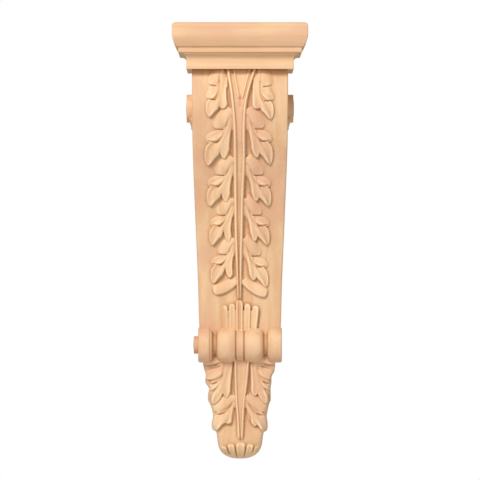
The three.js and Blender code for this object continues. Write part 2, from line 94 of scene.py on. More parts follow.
def add_node(
    tree: bpy.types.NodeTree,
    kind: str,
    settings: dict[str, object] | None = None,
    inputs: dict[int | str, object] | None = None,
) -> bpy.types.Node:
    """Adds a node with its settings and inputs.

    Args:
        tree: The tree that gets the node.
        kind: The node's type.
        settings: The node's own properties by name.
        inputs: By number or name, the socket that feeds an input or the input's plain value.

    Returns:
        The new node.
    """
    node = tree.nodes.new(kind)
    for key, value in (settings or {}).items():
        setattr(node, key, value)
    for key, value in (inputs or {}).items():
        if isinstance(value, bpy.types.NodeSocket):
            tree.links.new(value, node.inputs[key])
        else:
            node.inputs[key].default_value = value
    return node


def open_tree(name: str, values: dict[str, object]) -> bpy.types.NodeTree:
    """Starts a Geometry Nodes tree with an input for each value and one geometry output.

    Args:
        name: The tree's name.
        values: The inputs' values by name, each of a type that SOCKETS has.

    Returns:
        The tree, with no nodes yet.
    """
    tree = bpy.data.node_groups.new(name, "GeometryNodeTree")
    for label, value in values.items():
        tree.interface.new_socket(label, in_out="INPUT", socket_type=SOCKETS[type(value)])
    tree.interface.new_socket("Geometry", in_out="OUTPUT", socket_type="NodeSocketGeometry")
    return tree


def add_curve(
    tree: bpy.types.NodeTree, value: bpy.types.NodeSocket, knots: list[tuple[float, float]]
) -> bpy.types.NodeSocket:
    """Adds a curve of straight parts through knots, whose places and values run from 0 to 1.

    Args:
        tree: The tree that gets the node.
        value: The socket with the place.
        knots: Pairs of place and value.

    Returns:
        The socket with the curve's value.
    """
    node = add_node(tree, "ShaderNodeFloatCurve", inputs={"Value": value})
    curve = node.mapping.curves[0]
    curve.points[0].location, curve.points[1].location = knots[0], knots[-1]
    for knot in knots[1:-1]:
        curve.points.new(*knot)
    for point in curve.points:
        point.handle_type = "VECTOR"
    node.mapping.update()
    return node.outputs[0]


def close_tree(
    tree: bpy.types.NodeTree, geometry: bpy.types.NodeSocket, material: bpy.types.NodeSocket
) -> None:
    """Ends a Geometry Nodes tree with real geometry in its material.

    Args:
        tree: The tree.
        geometry: The socket with the finished shape.
        material: The socket with its material.
    """
    real = add_node(tree, "GeometryNodeRealizeInstances", inputs={"Geometry": geometry})
    dressed = add_node(
        tree, "GeometryNodeSetMaterial", inputs={"Geometry": real.outputs[0], "Material": material}
    )
    add_node(tree, "NodeGroupOutput", inputs={0: dressed.outputs[0]})


def placed(name: str, data: bpy.types.ID) -> bpy.types.Object:
    """Puts a new object in the scene.

    Args:
        name: The object's name.
        data: Its mesh, light or camera.

    Returns:
        The object.
    """
    item = bpy.data.objects.new(name, data)
    bpy.context.scene.collection.objects.link(item)
    return item


def evaluated(piece: bpy.types.Object) -> bpy.types.Mesh:
    """Gives the mesh that an object's modifiers make.

    Args:
        piece: The object, which stays as it is.

    Returns:
        A new mesh.
    """
    bpy.context.view_layer.update()
    graph = bpy.context.evaluated_depsgraph_get()
    return bpy.data.meshes.new_from_object(piece.evaluated_get(graph))


def smooth_step(value: np.ndarray, low: float, high: float) -> np.ndarray:
    """Turns smoothly from 0 to 1.

    Args:
        value: Where to look.
        low: Where the turn starts.
        high: Where it ends.

    Returns:
        Shares from 0 to 1.
    """
    share = np.clip((value - low) / (high - low), 0, 1)
    return share * share * (3 - 2 * share)


@dataclass(frozen=True)
class Stations:
    """A smooth curve through stations of (place, value)."""

    points: tuple[tuple[float, float], ...]

    def at(self, place: np.ndarray) -> np.ndarray:
        """Gives the curve's value at each place.

        Args:
            place: Places between the first and the last station.

        Returns:
            The values.
        """
        xs, ys = (np.array(v) for v in zip(*self.points))
        order = np.arange(len(xs))
        low, high = np.maximum(order - 1, 0), np.minimum(order + 1, len(xs) - 1)
        slope = (ys[high] - ys[low]) / (xs[high] - xs[low])
        held = np.clip(np.asarray(place, float), xs[0], xs[-1])
        i = np.clip(np.searchsorted(xs, held) - 1, 0, len(xs) - 2)
        span = xs[i + 1] - xs[i]
        t = (held - xs[i]) / span
        rise = 3 * t**2 - 2 * t**3
        bend = slope[i] * (t - 2 * t**2 + t**3) + slope[i + 1] * (t**3 - t**2)
        return ys[i] * (1 - rise) + ys[i + 1] * rise + span * bend


@dataclass(frozen=True)
class BracketForm:
    """The uncarved bracket, in millimetres: flat at the wall, tapering to a rounded tip.

    Levels run from 0 at the bracket's top to 1 at its tip.
    """

    top: float
    length: float
    width: float = 122.4
    depth: float = 108.0
    tip_start: float = 0.951
    tip_curve: float = 2.3
    tip_depth: float = 0.2
    roll_level: float = 0.7025
    edge_round: float = 2.0
    tip_edge_round: float = 9.0
    width_line: Stations = Stations((
        (0, 1), (0.18, 0.993), (0.33, 0.956), (0.535, 0.89), (0.66, 0.858), (0.7, 0.815),
        (0.745, 0.722), (0.79, 0.664), (0.83, 0.625), (0.866, 0.583), (0.91, 0.53), (0.951, 0.477),
        (1, 0.46),
    ))
    depth_line: Stations = Stations((
        (0, 0.935), (0.04, 0.985), (0.08, 1), (0.12, 0.985), (0.17, 0.935), (0.23, 0.83),
        (0.305, 0.7), (0.385, 0.6), (0.46, 0.535), (0.54, 0.485), (0.62, 0.458), (0.7, 0.445),
        (0.75, 0.425), (0.81, 0.375), (0.86, 0.345), (0.91, 0.335), (0.948, 0.35), (1, 0.34),
    ))

    def level(self, z: np.ndarray) -> np.ndarray:
        """Turns heights into levels."""
        return (self.top - z) / self.length

    def height(self, level: np.ndarray) -> np.ndarray:
        """Turns levels into heights."""
        return self.top - level * self.length

    def tip_share(self, level: np.ndarray) -> np.ndarray:
        """Gives the share of the section left in the rounded tip, from 1 to 0."""
        t = np.clip((level - self.tip_start) / (1 - self.tip_start), 0, 1)
        return (1 - t**self.tip_curve) ** (1 / self.tip_curve)

    def half_width(self, level: np.ndarray) -> np.ndarray:
        """Gives half the bracket's width, in millimetres."""
        return self.width_line.at(level) * self.width / 2 * self.tip_share(level)

    def face(self, level: np.ndarray) -> np.ndarray:
        """Gives the distance from the wall to the uncarved face, in millimetres."""
        left = self.tip_depth + (1 - self.tip_depth) * self.tip_share(level)
        return self.depth_line.at(level) * self.depth * left

    def rounding(self, level: np.ndarray) -> np.ndarray:
        """Gives the radius of the front edges.

        Args:
            level: Levels.

        Returns:
            Radii in millimetres.
        """
        wanted = self.edge_round + (self.tip_edge_round - self.edge_round) * smooth_step(
            level, self.roll_level, 1
        )
        return np.minimum(wanted, np.minimum(self.half_width(level), self.face(level)) / 2)


class ReliefMap:
    """Heights of the carving above the bracket's face, on a regular grid in millimetres."""

    margin: ClassVar[float] = 0.001

    def __init__(self, form: BracketForm, half: float = 68.0, step: float = 0.3) -> None:
        """Makes an empty map.

        Args:
            form: The bracket that is carved.
            half: Half the map's width.
            step: The grid's spacing.
        """
        self.form = form
        self.step = step
        self.x = np.arange(-half, half + step, step)
        self.z = np.arange(form.top - form.length - step, form.top + 2 * step, step)
        self.rise = np.zeros((len(self.z), len(self.x)))

    def window(self, low: np.ndarray, high: np.ndarray) -> tuple[slice, slice]:
        """Finds the part of the grid between two corners.

        Args:
            low: The lowest x and z.
            high: The highest x and z.

        Returns:
            The slices over z and x.
        """
        across = slice(*np.searchsorted(self.x, (low[0], high[0])))
        up = slice(*np.searchsorted(self.z, (low[1], high[1])))
        return up, across

    def sample(self, x: np.ndarray, z: np.ndarray, values: np.ndarray | None = None) -> np.ndarray:
        """Reads the map between its grid points.

        Args:
            x: Places across.
            z: Places up.
            values: Another map on the same grid, or None for the heights.

        Returns:
            The value at each place.
        """
        values = self.rise if values is None else values
        u = np.clip((x - self.x[0]) / self.step, 0, len(self.x) - 1 - self.margin)
        v = np.clip((z - self.z[0]) / self.step, 0, len(self.z) - 1 - self.margin)
        i, j = u.astype(int), v.astype(int)
        p, q = u - i, v - j
        low = values[j, i] * (1 - p) + values[j, i + 1] * p
        high = values[j + 1, i] * (1 - p) + values[j + 1, i + 1] * p
        return low * (1 - q) + high * q

    def blurred(self, values: np.ndarray, radius: float) -> np.ndarray:
        """Averages a map over a soft disc.

        Args:
            values: A map on this grid.
            radius: The spread in millimetres.

        Returns:
            The averaged map.
        """
        reach = max(int(3 * radius / self.step), 1)
        weights = np.exp(-0.5 * (np.arange(-reach, reach + 1) * self.step / radius) ** 2)
        weights /= weights.sum()
        padded = np.pad(values, reach, mode="edge")
        rows = np.apply_along_axis(np.convolve, 0, padded, weights, mode="valid")
        return np.apply_along_axis(np.convolve, 1, rows, weights, mode="valid")


@dataclass(frozen=True)
class Stroke:
    """One stroke of the carver's tool along a spine of (x, z) points, in millimetres."""

    spine: tuple[tuple[float, float], ...]
    half: float

    samples: ClassVar[int] = 33

    def line(self) -> np.ndarray:
        """Samples the smooth curve through the spine's points.

        Returns:
            Points by x and z.
        """
        points = np.array([self.spine[0], *self.spine, self.spine[-1]], float)
        spans = len(self.spine) - 1
        places = np.linspace(0, spans, self.samples)
        k = np.minimum(places.astype(int), spans - 1)
        t = (places - k)[:, None]
        a, b, c, d = (points[k + n] for n in range(4))
        return 0.5 * (2 * b + (c - a) * t + (2 * a - 5 * b + 4 * c - d) * t**2
                      + (3 * b - a - 3 * c + d) * t**3)

    def trace(
        self, relief: ReliefMap
    ) -> tuple[tuple[slice, slice], np.ndarray, np.ndarray, np.ndarray]:
        """Finds where each point near the stroke lies along it and beside it.

        Args:
            relief: The map that is carved.

        Returns:
            The part of the map, and there the share of the way along, the distance to the left of
            the spine, and whether the point lies beside the spine and not past its ends.
        """
        line = self.line()
        part = relief.window(line.min(0) - self.half, line.max(0) + self.half)
        x, z = np.meshgrid(relief.x[part[1]], relief.z[part[0]])
        span = np.diff(line, axis=0)
        gap = np.stack([x, z], -1)[:, :, None, :] - line[:-1]
        along = (gap * span).sum(-1) / (span**2).sum(-1)
        held = np.clip(along, 0, 1)
        away = gap - held[..., None] * span
        near = np.argmin((away**2).sum(-1), axis=-1)[..., None]
        share = np.take_along_axis(held, near, -1)[..., 0]
        raw = np.take_along_axis(along, near, -1)[..., 0]
        offset = np.take_along_axis(away, near[..., None], 2)[:, :, 0, :]
        nearest = near[..., 0]
        tangent = span[nearest] / np.linalg.norm(span[nearest], axis=-1, keepdims=True)
        distance = tangent[..., 0] * offset[..., 1] - tangent[..., 1] * offset[..., 0]
        beyond = ((nearest == 0) & (raw < 0)) | ((nearest == self.samples - 2) & (raw > 1))
        return part, (nearest + share) / (self.samples - 1), distance, ~beyond


@dataclass(frozen=True)
class LobeShape:
    """How a carved lobe swells. Shares are of its half width or of its height.

    The peak is where along it the lobe is widest and highest, root its width at the start, and
    blunt how round its tip is. Start and end are its height at the root and at the tip. Across
    gives its height from the upper side, at -1, to the lower side, at 1. The walls are how wide its
    rounded edge is on either side, in millimetres.
    """

    peak: float
    root: float
    blunt: float
    start: float
    end: float
    across: Stations
    upper_wall: float = 1.2
    lower_wall: float = 1.2


@dataclass(frozen=True)
class Lobe(Stroke):
    """One raised lobe, whose lower side is to the left of its spine at 1 and to the right at -1."""

    rise: float
    shape: LobeShape
    lower: int = 1

    def widths(self, t: np.ndarray) -> np.ndarray:
        """Gives the lobe's half width along it, in millimetres.

        Args:
            t: Shares of the way along.

        Returns:
            The half widths.
        """
        opening = np.sin(np.clip(t / self.shape.peak, 0, 1) * math.pi / 2)
        closing = np.clip((t - self.shape.peak) / (1 - self.shape.peak), 0, 1)
        swelling = self.shape.root + (1 - self.shape.root) * opening
        return self.half * swelling * (1 - closing**self.shape.blunt) ** (1 / self.shape.blunt)

    def carve(self, relief: ReliefMap) -> None:
        """Raises the map to this lobe wherever the lobe stands higher.

        Args:
            relief: The map that is carved.
        """
        part, t, distance, beside = self.trace(relief)
        width = np.maximum(self.widths(t), SLIVER)
        a = self.lower * distance / width
        rise = np.where((np.abs(a) < 1) & beside, self.height(t, np.clip(a, -1, 1), width), 0)
        relief.rise[part] = np.maximum(relief.rise[part], rise)

    def height(self, t: np.ndarray, a: np.ndarray, width: np.ndarray) -> np.ndarray:
        """Gives the lobe's height.

        Args:
            t: Share of the way along.
            a: Place across, from -1 at the upper side to 1 at the lower side.
            width: The half width there.

        Returns:
            Heights above the face.
        """
        shape = self.shape
        opening = np.sin(np.clip(t / shape.peak, 0, 1) * math.pi / 2)
        closing = smooth_step(t, shape.peak, 1)
        swell = (shape.start + (1 - shape.start) * opening) * (1 - (1 - shape.end) * closing)
        wall = np.where(a < 0, shape.upper_wall, shape.lower_wall)
        edge = np.clip((1 - np.abs(a)) * width / wall, 0, 1)
        return self.rise * swell * shape.across.at(a) * np.sqrt(1 - (1 - edge) ** 2)


@dataclass(frozen=True)
class Cut(Stroke):
    """One cut of a V tool, that fades in and out."""

    depth: float
    lowest: float = -1.2

    fade: ClassVar[float] = 5.0
    section: ClassVar[float] = 0.8

    def carve(self, relief: ReliefMap) -> None:
        """Cuts the groove into the map, and no deeper below the face than the lowest depth.

        Args:
            relief: The map that is carved.
        """
        part, t, distance, beside = self.trace(relief)
        ends = np.clip(self.fade * t, 0, 1) * np.clip(self.fade * (1 - t), 0, 1)
        groove = np.clip(1 - np.abs(distance) / self.half, 0, 1) ** self.section * ends * beside
        floor = np.minimum(relief.rise[part], self.lowest * groove)
        relief.rise[part] = np.maximum(relief.rise[part] - self.depth * groove, floor)


def across(*heights: float) -> Stations:
    """Gives a lobe's section.

    Args:
        heights: Evenly spaced heights, from the upper side to the lower side.

    Returns:
        The section, from -1 to 1.
    """
    return Stations(tuple(zip(np.linspace(-1, 1, len(heights)).tolist(), heights)))


SOFT = LobeShape(0.5, 0.7, 2.2, 0.6, 0.5, across(0.08, 0.42, 0.74, 0.95, 1, 0.86), 0.8, 0.8)
CUPPED = LobeShape(0.5, 0.6, 1.9, 0.45, 0.6, across(0.22, 0.46, 0.5, 0.74, 1, 0.9), 1.4, 0.7)
SPOON = LobeShape(0.5, 0.5, 1.35, 0.5, 0.85, across(0.66, 0.5, 0.4, 0.62, 0.96, 1, 0.86), 0.6, 0.6)
TEAR = LobeShape(0.68, 0.45, 1.4, 0.4, 0.9, across(0.8, 0.86, 0.8, 0.9, 1, 0.85), 0.7, 0.7)
WEB = LobeShape(0.5, 0.6, 2.0, 0.8, 0.4, across(0.5, 0.9, 1, 0.9, 0.5), 5.0, 5.0)
MIDRIB = LobeShape(0.7, 0.6, 2.5, 0.6, 0.9, across(0.55, 0.9, 1, 0.9, 0.6), 1.5, 1.5)
FOLD = LobeShape(0.75, 0.5, 1.5, 0.6, 0.9, across(0.7, 1, 0.92, 0.8, 0.76, 0.8), 0.7, 0.7)
SLOPE = LobeShape(0.8, 0.94, 2.2, 0.9, 0.9, across(0.9, 0.95, 0.85, 0.6, 0.3, 0.05), 0.9, 0.3)
REED = LobeShape(0.8, 0.94, 2.2, 0.9, 0.9, across(0.74, 0.72, 0.74, 0.84, 1, 0.86), 0.8, 0.8)
PAD = LobeShape(0.8, 0.94, 4.0, 0.95, 0.95, across(0.8, 1, 1, 1, 0.8), 1.5, 1.5)
TWIN = LobeShape(0.8, 0.94, 2.2, 0.9, 0.95, across(0.84, 1, 0.8, 0.6, 0.8, 1, 0.84), 0.8, 0.8)


@dataclass(frozen=True)
class LobePlan:
    """A lobe on a leaf: across from the stem, 0, to the reach, 1, and down from root to tip."""

    points: tuple[tuple[float, float], ...]
    width: float
    rise: float
    shape: LobeShape


@dataclass(frozen=True)
class CutPlan:
    """A cut on a leaf: points as a lobe's are, half width and depth in millimetres."""

    points: tuple[tuple[float, float], ...]
    half: float
    depth: float


UPPER_LOBES = (
    LobePlan(((0.0, 0.08), (0.22, 0.3), (0.5, 0.5)), 0.26, 0.5, WEB),
    LobePlan(((0.06, 0.0), (0.25, 0.12), (0.43, 0.25), (0.65, 0.35)), 0.2, 0.8, SOFT),
    LobePlan(((0.33, 0.43), (0.58, 0.485), (0.78, 0.53), (0.94, 0.575)), 0.15, 0.86, CUPPED),
    LobePlan(((0.05, 0.1), (0.17, 0.32), (0.3, 0.5), (0.46, 0.66)), 0.12, 0.76, MIDRIB),
    LobePlan(((0.38, 0.48), (0.64, 0.68), (0.8, 0.83), (0.9, 1.01)), 0.21, 1.0, SPOON),
)
UPPER_CUTS = (
    CutPlan(((0.05, 0.12), (0.22, 0.31), (0.35, 0.49), (0.5, 0.58), (0.64, 0.66)), 1.5, 2.2),
    CutPlan(((0.3, 0.385), (0.46, 0.385), (0.68, 0.37)), 1.0, 3.6),
    CutPlan(((0.54, 0.595), (0.7, 0.595), (0.93, 0.58)), 1.0, 3.6),
    CutPlan(((0.03, 0.4), (0.08, 0.56), (0.1, 0.7), (0.06, 0.86)), 1.5, 9.0),
)
TOP_LOBES = (
    LobePlan(((0.2, 0.05), (0.5, 0.35), (0.72, 0.6)), 0.26, 0.5, WEB),
    LobePlan(((0.3, 0.0), (0.48, 0.12), (0.66, 0.24), (0.86, 0.35)), 0.19, 0.8, SOFT),
    LobePlan(((0.5, 0.42), (0.7, 0.5), (0.86, 0.57), (1.0, 0.62)), 0.15, 0.86, CUPPED),
    LobePlan(((0.2, 0.05), (0.3, 0.3), (0.4, 0.5), (0.52, 0.68)), 0.13, 0.76, MIDRIB),
    LobePlan(((0.46, 0.5), (0.68, 0.7), (0.82, 0.84), (0.91, 1.0)), 0.2, 1.0, SPOON),
)
TOP_CUTS = (
    CutPlan(((0.28, 0.0), (0.38, 0.25), (0.46, 0.46), (0.58, 0.62), (0.7, 0.7)), 1.5, 2.2),
    CutPlan(((0.52, 0.38), (0.7, 0.375), (0.9, 0.36)), 1.0, 3.6),
    CutPlan(((0.62, 0.65), (0.8, 0.65), (1.0, 0.63)), 1.0, 3.6),
    CutPlan(((0.08, 0.4), (0.11, 0.54), (0.12, 0.66), (0.1, 0.78)), 1.5, 9.0),
)
TAIL_LOBES = (
    LobePlan(((0.2, 0.1), (0.5, 0.5), (0.8, 0.9)), 0.3, 0.5, WEB),
    LobePlan(((0.22, 0.08), (0.6, 0.12), (1.04, 0.19)), 0.19, 0.84, SOFT),
    LobePlan(((0.36, 0.3), (0.68, 0.4), (1.05, 0.48)), 0.2, 0.9, CUPPED),
    LobePlan(((0.5, 0.52), (0.76, 0.63), (1.02, 0.72)), 0.13, 0.9, CUPPED),
    LobePlan(((0.18, 0.1), (0.32, 0.46), (0.52, 0.7), (0.73, 0.86), (0.9, 1.0)), 0.15, 1.0, FOLD),
)
TAIL_CUTS = (
    CutPlan(((0.42, 0.27), (0.7, 0.31), (1.0, 0.34)), 1.1, 3.6),
    CutPlan(((0.6, 0.57), (0.8, 0.61), (1.02, 0.61)), 1.1, 3.6),
    CutPlan(((0.3, 0.2), (0.41, 0.46), (0.58, 0.66), (0.74, 0.8)), 2.6, 2.2),
    CutPlan(((0.02, 0.35), (0.08, 0.56), (0.12, 0.7), (0.1, 0.84)), 1.4, 9.0),
)
LAST_LOBES = (
    LobePlan(((0.02, 0.1), (0.34, 0.5), (0.6, 0.8)), 0.28, 0.5, WEB),
    LobePlan(((0.02, 0.0), (0.3, 0.12), (0.62, 0.28), (1.0, 0.4)), 0.25, 0.84, SOFT),
    LobePlan(((0.04, 0.14), (0.2, 0.38), (0.36, 0.56), (0.55, 0.76)), 0.17, 0.76, MIDRIB),
    LobePlan(((0.25, 0.36), (0.5, 0.56), (0.74, 0.74), (0.92, 1.0)), 0.26, 1.0, SPOON),
)
LAST_CUTS = (
    CutPlan(((0.08, 0.2), (0.3, 0.4), (0.55, 0.53), (0.98, 0.57)), 1.4, 2.8),
    CutPlan(((0.04, 0.36), (0.07, 0.56), (0.1, 0.7), (0.08, 0.84)), 1.4, 9.0),
)
# The inner drop's spine: the share of its end's place across, and how far down the leaf.
DROP_LINE = ((0.3, 0.2), (0.62, 0.42), (0.88, 0.62), (0.97, 0.76))


@dataclass(frozen=True)
class Leaf:
    """A pair of leaves, left and right of the stem, each with its lobes and an inner drop.

    Root and tips are levels, reach is a share of half the bracket's width, and drops are the ends
    of the inner drops on the leaf's plan. Pairs have the left leaf first.
    """

    lobes: tuple[LobePlan, ...]
    cuts: tuple[CutPlan, ...]
    root: float
    tips: tuple[float, float]
    reach: tuple[float, float]
    drops: tuple[tuple[float, float], tuple[float, float]]


@dataclass(frozen=True)
class StemForm:
    """The forked stem's edges and the tail's, as stations of (level, x in millimetres)."""

    left: Stations = Stations((
        (-0.01, -18.2), (0.0735, -12), (0.144, -9.1), (0.229, -8.3), (0.33, -7.9), (0.433, -7.1),
        (0.51, -5.3), (0.588, -3.2),
    ))
    right: Stations = Stations((
        (-0.01, 21.9), (0.0735, 10.1), (0.144, 7.2), (0.229, 7.1), (0.33, 4.9), (0.433, 3.9),
        (0.51, 2.6), (0.588, 1.6),
    ))
    fork_left: Stations = Stations(((-0.01, -7.2), (0.03, -3.7), (0.0735, 0)))
    fork_right: Stations = Stations(((-0.01, 11.6), (0.03, 6.4), (0.0735, 1)))
    tail_left: Stations = Stations((
        (0.72, -8.2), (0.749, -7.7), (0.796, -7.2), (0.847, -6.2), (0.889, -4.5), (0.923, -3.6),
        (0.955, -2.8),
    ))
    tail_right: Stations = Stations((
        (0.72, 12.6), (0.749, 12), (0.796, 10.1), (0.847, 6.9), (0.889, 5.4), (0.923, 4.6),
        (0.955, 3.7),
    ))
    fork_level: float = 0.0735
    end: float = 0.588
    tail_start: float = 0.72
    tail_end: float = 0.955
    trunk_fade: float = 0.012
    tail_fade: float = 0.015
    rail: tuple[float, float] = (5.0, 6.8)
    thin_rail: tuple[float, float] = (3.8, 5.0)
    tail_rail: tuple[float, float] = (4.0, 6.2)
    wall: float = 0.4
    flat: float = 0.62
    floor: float = 3.4
    hollow: float = 0.9
    web: float = 2.4

    def edge(self, level: float, side: Side) -> float:
        """Gives the distance from the axis to the stem's edge.

        Args:
            level: A level on the bracket.
            side: Which edge.

        Returns:
            The distance, in millimetres.
        """
        tail = level > (self.end + self.tail_start) / 2
        if side is Side.LEFT:
            return abs(float((self.tail_left if tail else self.left).at(level)))
        return abs(float((self.tail_right if tail else self.right).at(level)))

    def strip(
        self, x: np.ndarray, left: np.ndarray, right: np.ndarray, *rails: tuple[float, float]
    ) -> np.ndarray:
        """Gives the height across a channelled strip between two edges.

        Args:
            x: Places across.
            left: The left edge at each row.
            right: The right edge at each row.
            rails: The width and the height of the left rail, and of the right one.

        Returns:
            Heights above the face, and 0 outside the edges.
        """
        rise = np.zeros(np.broadcast(x, left).shape)
        for (width, crest), inset in zip(rails, (x - left, right - x)):
            held = np.minimum(width, np.maximum(right - left, TINY) / 2)
            outer = np.sqrt(1 - (1 - np.clip(inset / (self.wall * held), 0, 1)) ** 2)
            inner = 1 - smooth_step(inset / held, self.flat, 1)
            rise = np.maximum(rise, np.where(inset > 0, crest * outer * inner, 0))
        share = np.clip((x - left) / np.maximum(right - left, TINY), 0, 1)
        channel = self.floor - self.hollow * np.sin(share * math.pi)
        return np.where((x > left) & (x < right), np.maximum(rise, channel), 0)

    def carve(self, relief: ReliefMap) -> None:
        """Raises the stem, its fork and the tail's stem on the map.

        Args:
            relief: The map that is carved.
        """
        level = relief.form.level(relief.z)[:, None]
        x = relief.x[None, :]
        arms = level < self.fork_level
        trunk = (level >= self.fork_level) & (level <= self.end)
        tail = (level >= self.tail_start) & (level <= self.tail_end)
        left, right = self.left.at(level), self.right.at(level)
        fork_left, fork_right = self.fork_left.at(level), self.fork_right.at(level)
        left_arm = self.strip(x, left, fork_left, self.rail, self.thin_rail)
        right_arm = self.strip(x, fork_right, right, self.thin_rail, self.rail)
        whole = self.strip(x, left, right, self.rail, self.rail)
        fading = 1 - smooth_step(level, self.end - self.trunk_fade, self.end)
        tail_edges = self.tail_left.at(level), self.tail_right.at(level)
        tail_strip = self.strip(x, *tail_edges, self.tail_rail, self.tail_rail)
        between = (x > fork_left) & (x < fork_right)
        rise = np.where(arms, np.maximum(left_arm, right_arm), 0)
        rise = np.where(arms & between, self.web, rise)
        rise = np.where(trunk, whole * fading, rise)
        ending = 1 - smooth_step(level, self.tail_end - self.tail_fade, self.tail_end)
        rise = np.where(tail, tail_strip * ending, rise)
        relief.rise[:] = np.maximum(relief.rise, rise)


@dataclass(frozen=True)
class FrontCarving:
    """Everything carved on the bracket's face. Lengths are in millimetres.

    A rib of the palmette has its tip's level, its x at the foot and at the tip, its half width, its
    rise and its shape. A seam has its points (x, level), its half width and its depth. A flute has
    its middle and its half width, as shares of half the tip's width, and the level of its top.
    """

    stem: StemForm = StemForm()
    leaf_rise: float = 6.6
    drop_width: float = 0.15
    drop_rise: float = 0.96
    leaves: tuple[Leaf, ...] = (
        Leaf(TOP_LOBES, TOP_CUTS, -0.006, (0.121, 0.127), (0.7, 0.7),
             ((0.35, 0.84), (0.4, 0.8))),
        Leaf(UPPER_LOBES, UPPER_CUTS, 0.097, (0.242, 0.239), (0.75, 0.7),
             ((0.33, 0.89), (0.4, 0.89))),
        Leaf(UPPER_LOBES, UPPER_CUTS, 0.22, (0.345, 0.345), (0.73, 0.7),
             ((0.3, 0.93), (0.44, 0.91))),
        Leaf(UPPER_LOBES, UPPER_CUTS, 0.323, (0.445, 0.445), (0.7, 0.69),
             ((0.25, 0.95), (0.43, 0.93))),
        Leaf(UPPER_LOBES, UPPER_CUTS, 0.425, (0.543, 0.553), (0.7, 0.69),
             ((0.25, 0.89), (0.43, 0.87))),
        Leaf(TAIL_LOBES, TAIL_CUTS, 0.72, (0.856, 0.854), (1.06, 1.03),
             ((0.33, 0.88), (0.35, 0.86))),
        Leaf(LAST_LOBES, LAST_CUTS, 0.832, (0.923, 0.926), (1.08, 1.07),
             ((0.37, 0.82), (0.48, 0.86))),
    )
    blade_root: float = 0.528
    blade_tips: tuple[float, float] = (0.561, 0.568)
    blade_reach: tuple[float, float] = (0.64, 0.65)
    blade_half: float = 7.8
    blade_rise: float = 0.78
    blade_sag: float = 0.08
    blade_places: tuple[float, ...] = (0.0, 0.35, 0.7, 1.0)
    blade_shape: LobeShape = LobeShape(
        0.7, 0.5, 3.0, 0.5, 0.8, across(0.1, 0.5, 0.75, 0.95, 1, 0.8), 0.6, 1.2
    )
    softening: float = 0.35
    wave_size: float = 2.4
    wave_rise: float = 0.07
    seed: int = 7
    palmette_foot: float = 0.668
    palmette: tuple[tuple[float, float, float, float, float, LobeShape], ...] = (
        (0.613, 0, 0, 21.5, 4.6, PAD),
        (0.601, -18.4, -20.2, 4.5, 6.2, SLOPE), (0.5965, -9.6, -10.1, 4.4, 7.6, REED),
        (0.588, -0.5, -0.65, 4.8, 8.4, TWIN), (0.5965, 9.1, 9.7, 4.4, 7.6, REED),
        (0.602, 17.2, 20.6, 4.5, 6.4, REED),
    )
    seams: tuple[tuple[tuple[tuple[float, float], ...], float, float], ...] = (
        (((0.5, 0.066), (0.6, 0.08), (0.5, 0.1)), 1.6, 1.6),
        (((-27, 0.9665), (-13, 0.9515), (0, 0.9475), (13, 0.9515), (27, 0.9665)), 4.6, 2.6),
    )
    flute_rise: float = 7.0
    flute_end: float = 0.997
    flute_round: float = 5.0
    flute_point: float = 0.35
    flute_dish: float = 0.38
    flutes: tuple[tuple[float, float, float], ...] = (
        (-0.79, 0.175, 0.963), (-0.41, 0.17, 0.957), (0.03, 0.225, 0.953), (0.465, 0.175, 0.957),
        (0.815, 0.155, 0.963),
    )

    def strokes(self, form: BracketForm, leaf: Leaf, side: Side) -> list[Stroke]:
        """Works out the lobes and the cuts of one leaf on one side.

        Args:
            form: The bracket that carries the leaf.
            leaf: The pair of leaves.
            side: Which of the pair.

        Returns:
            The strokes, placed on the face, in the order that they are carved.
        """
        tip, reach, drop = (pair[side.pick] for pair in (leaf.tips, leaf.reach, leaf.drops))
        widest = reach * float(form.half_width(tip))

        def place(point: tuple[float, float]) -> tuple[float, float]:
            """Puts a point of the leaf's plan on the face.

            Args:
                point: The point across and down.

            Returns:
                Its x and z in millimetres.
            """
            level = leaf.root + (tip - leaf.root) * point[1]
            edge = self.stem.edge(level, side)
            room = reach * float(form.half_width(level))
            return side.value * (edge + (room - edge) * point[0]), float(form.height(level))

        inner = tuple((drop[0] * share, down) for share, down in DROP_LINE)
        plans = (*leaf.lobes, LobePlan((*inner, drop), self.drop_width, self.drop_rise, TEAR))
        lobes = [
            Lobe(tuple(place(p) for p in plan.points), plan.width * widest,
                 plan.rise * self.leaf_rise, plan.shape, -side.value)
            for plan in plans
        ]
        cuts = [Cut(tuple(place(p) for p in cut.points), cut.half, cut.depth) for cut in leaf.cuts]
        return [*lobes, *cuts]

    def blade(self, form: BracketForm, side: Side) -> Lobe:
        """Works out one of the plain blades at the stem's foot.

        Args:
            form: The bracket that carries the blade.
            side: Which of the pair.

        Returns:
            The blade.
        """
        tip = self.blade_tips[side.pick]
        out = side.value * self.blade_reach[side.pick] * float(form.half_width(tip))
        low, high = float(form.height(self.blade_root)), float(form.height(tip))
        sag = self.blade_sag * math.hypot(out, high - low)
        spine = tuple(
            (out * share, low + (high - low) * share - sag * math.sin(share * math.pi))
            for share in self.blade_places
        )
        rise = self.blade_rise * self.leaf_rise
        return Lobe(spine, self.blade_half, rise, self.blade_shape, -side.value)

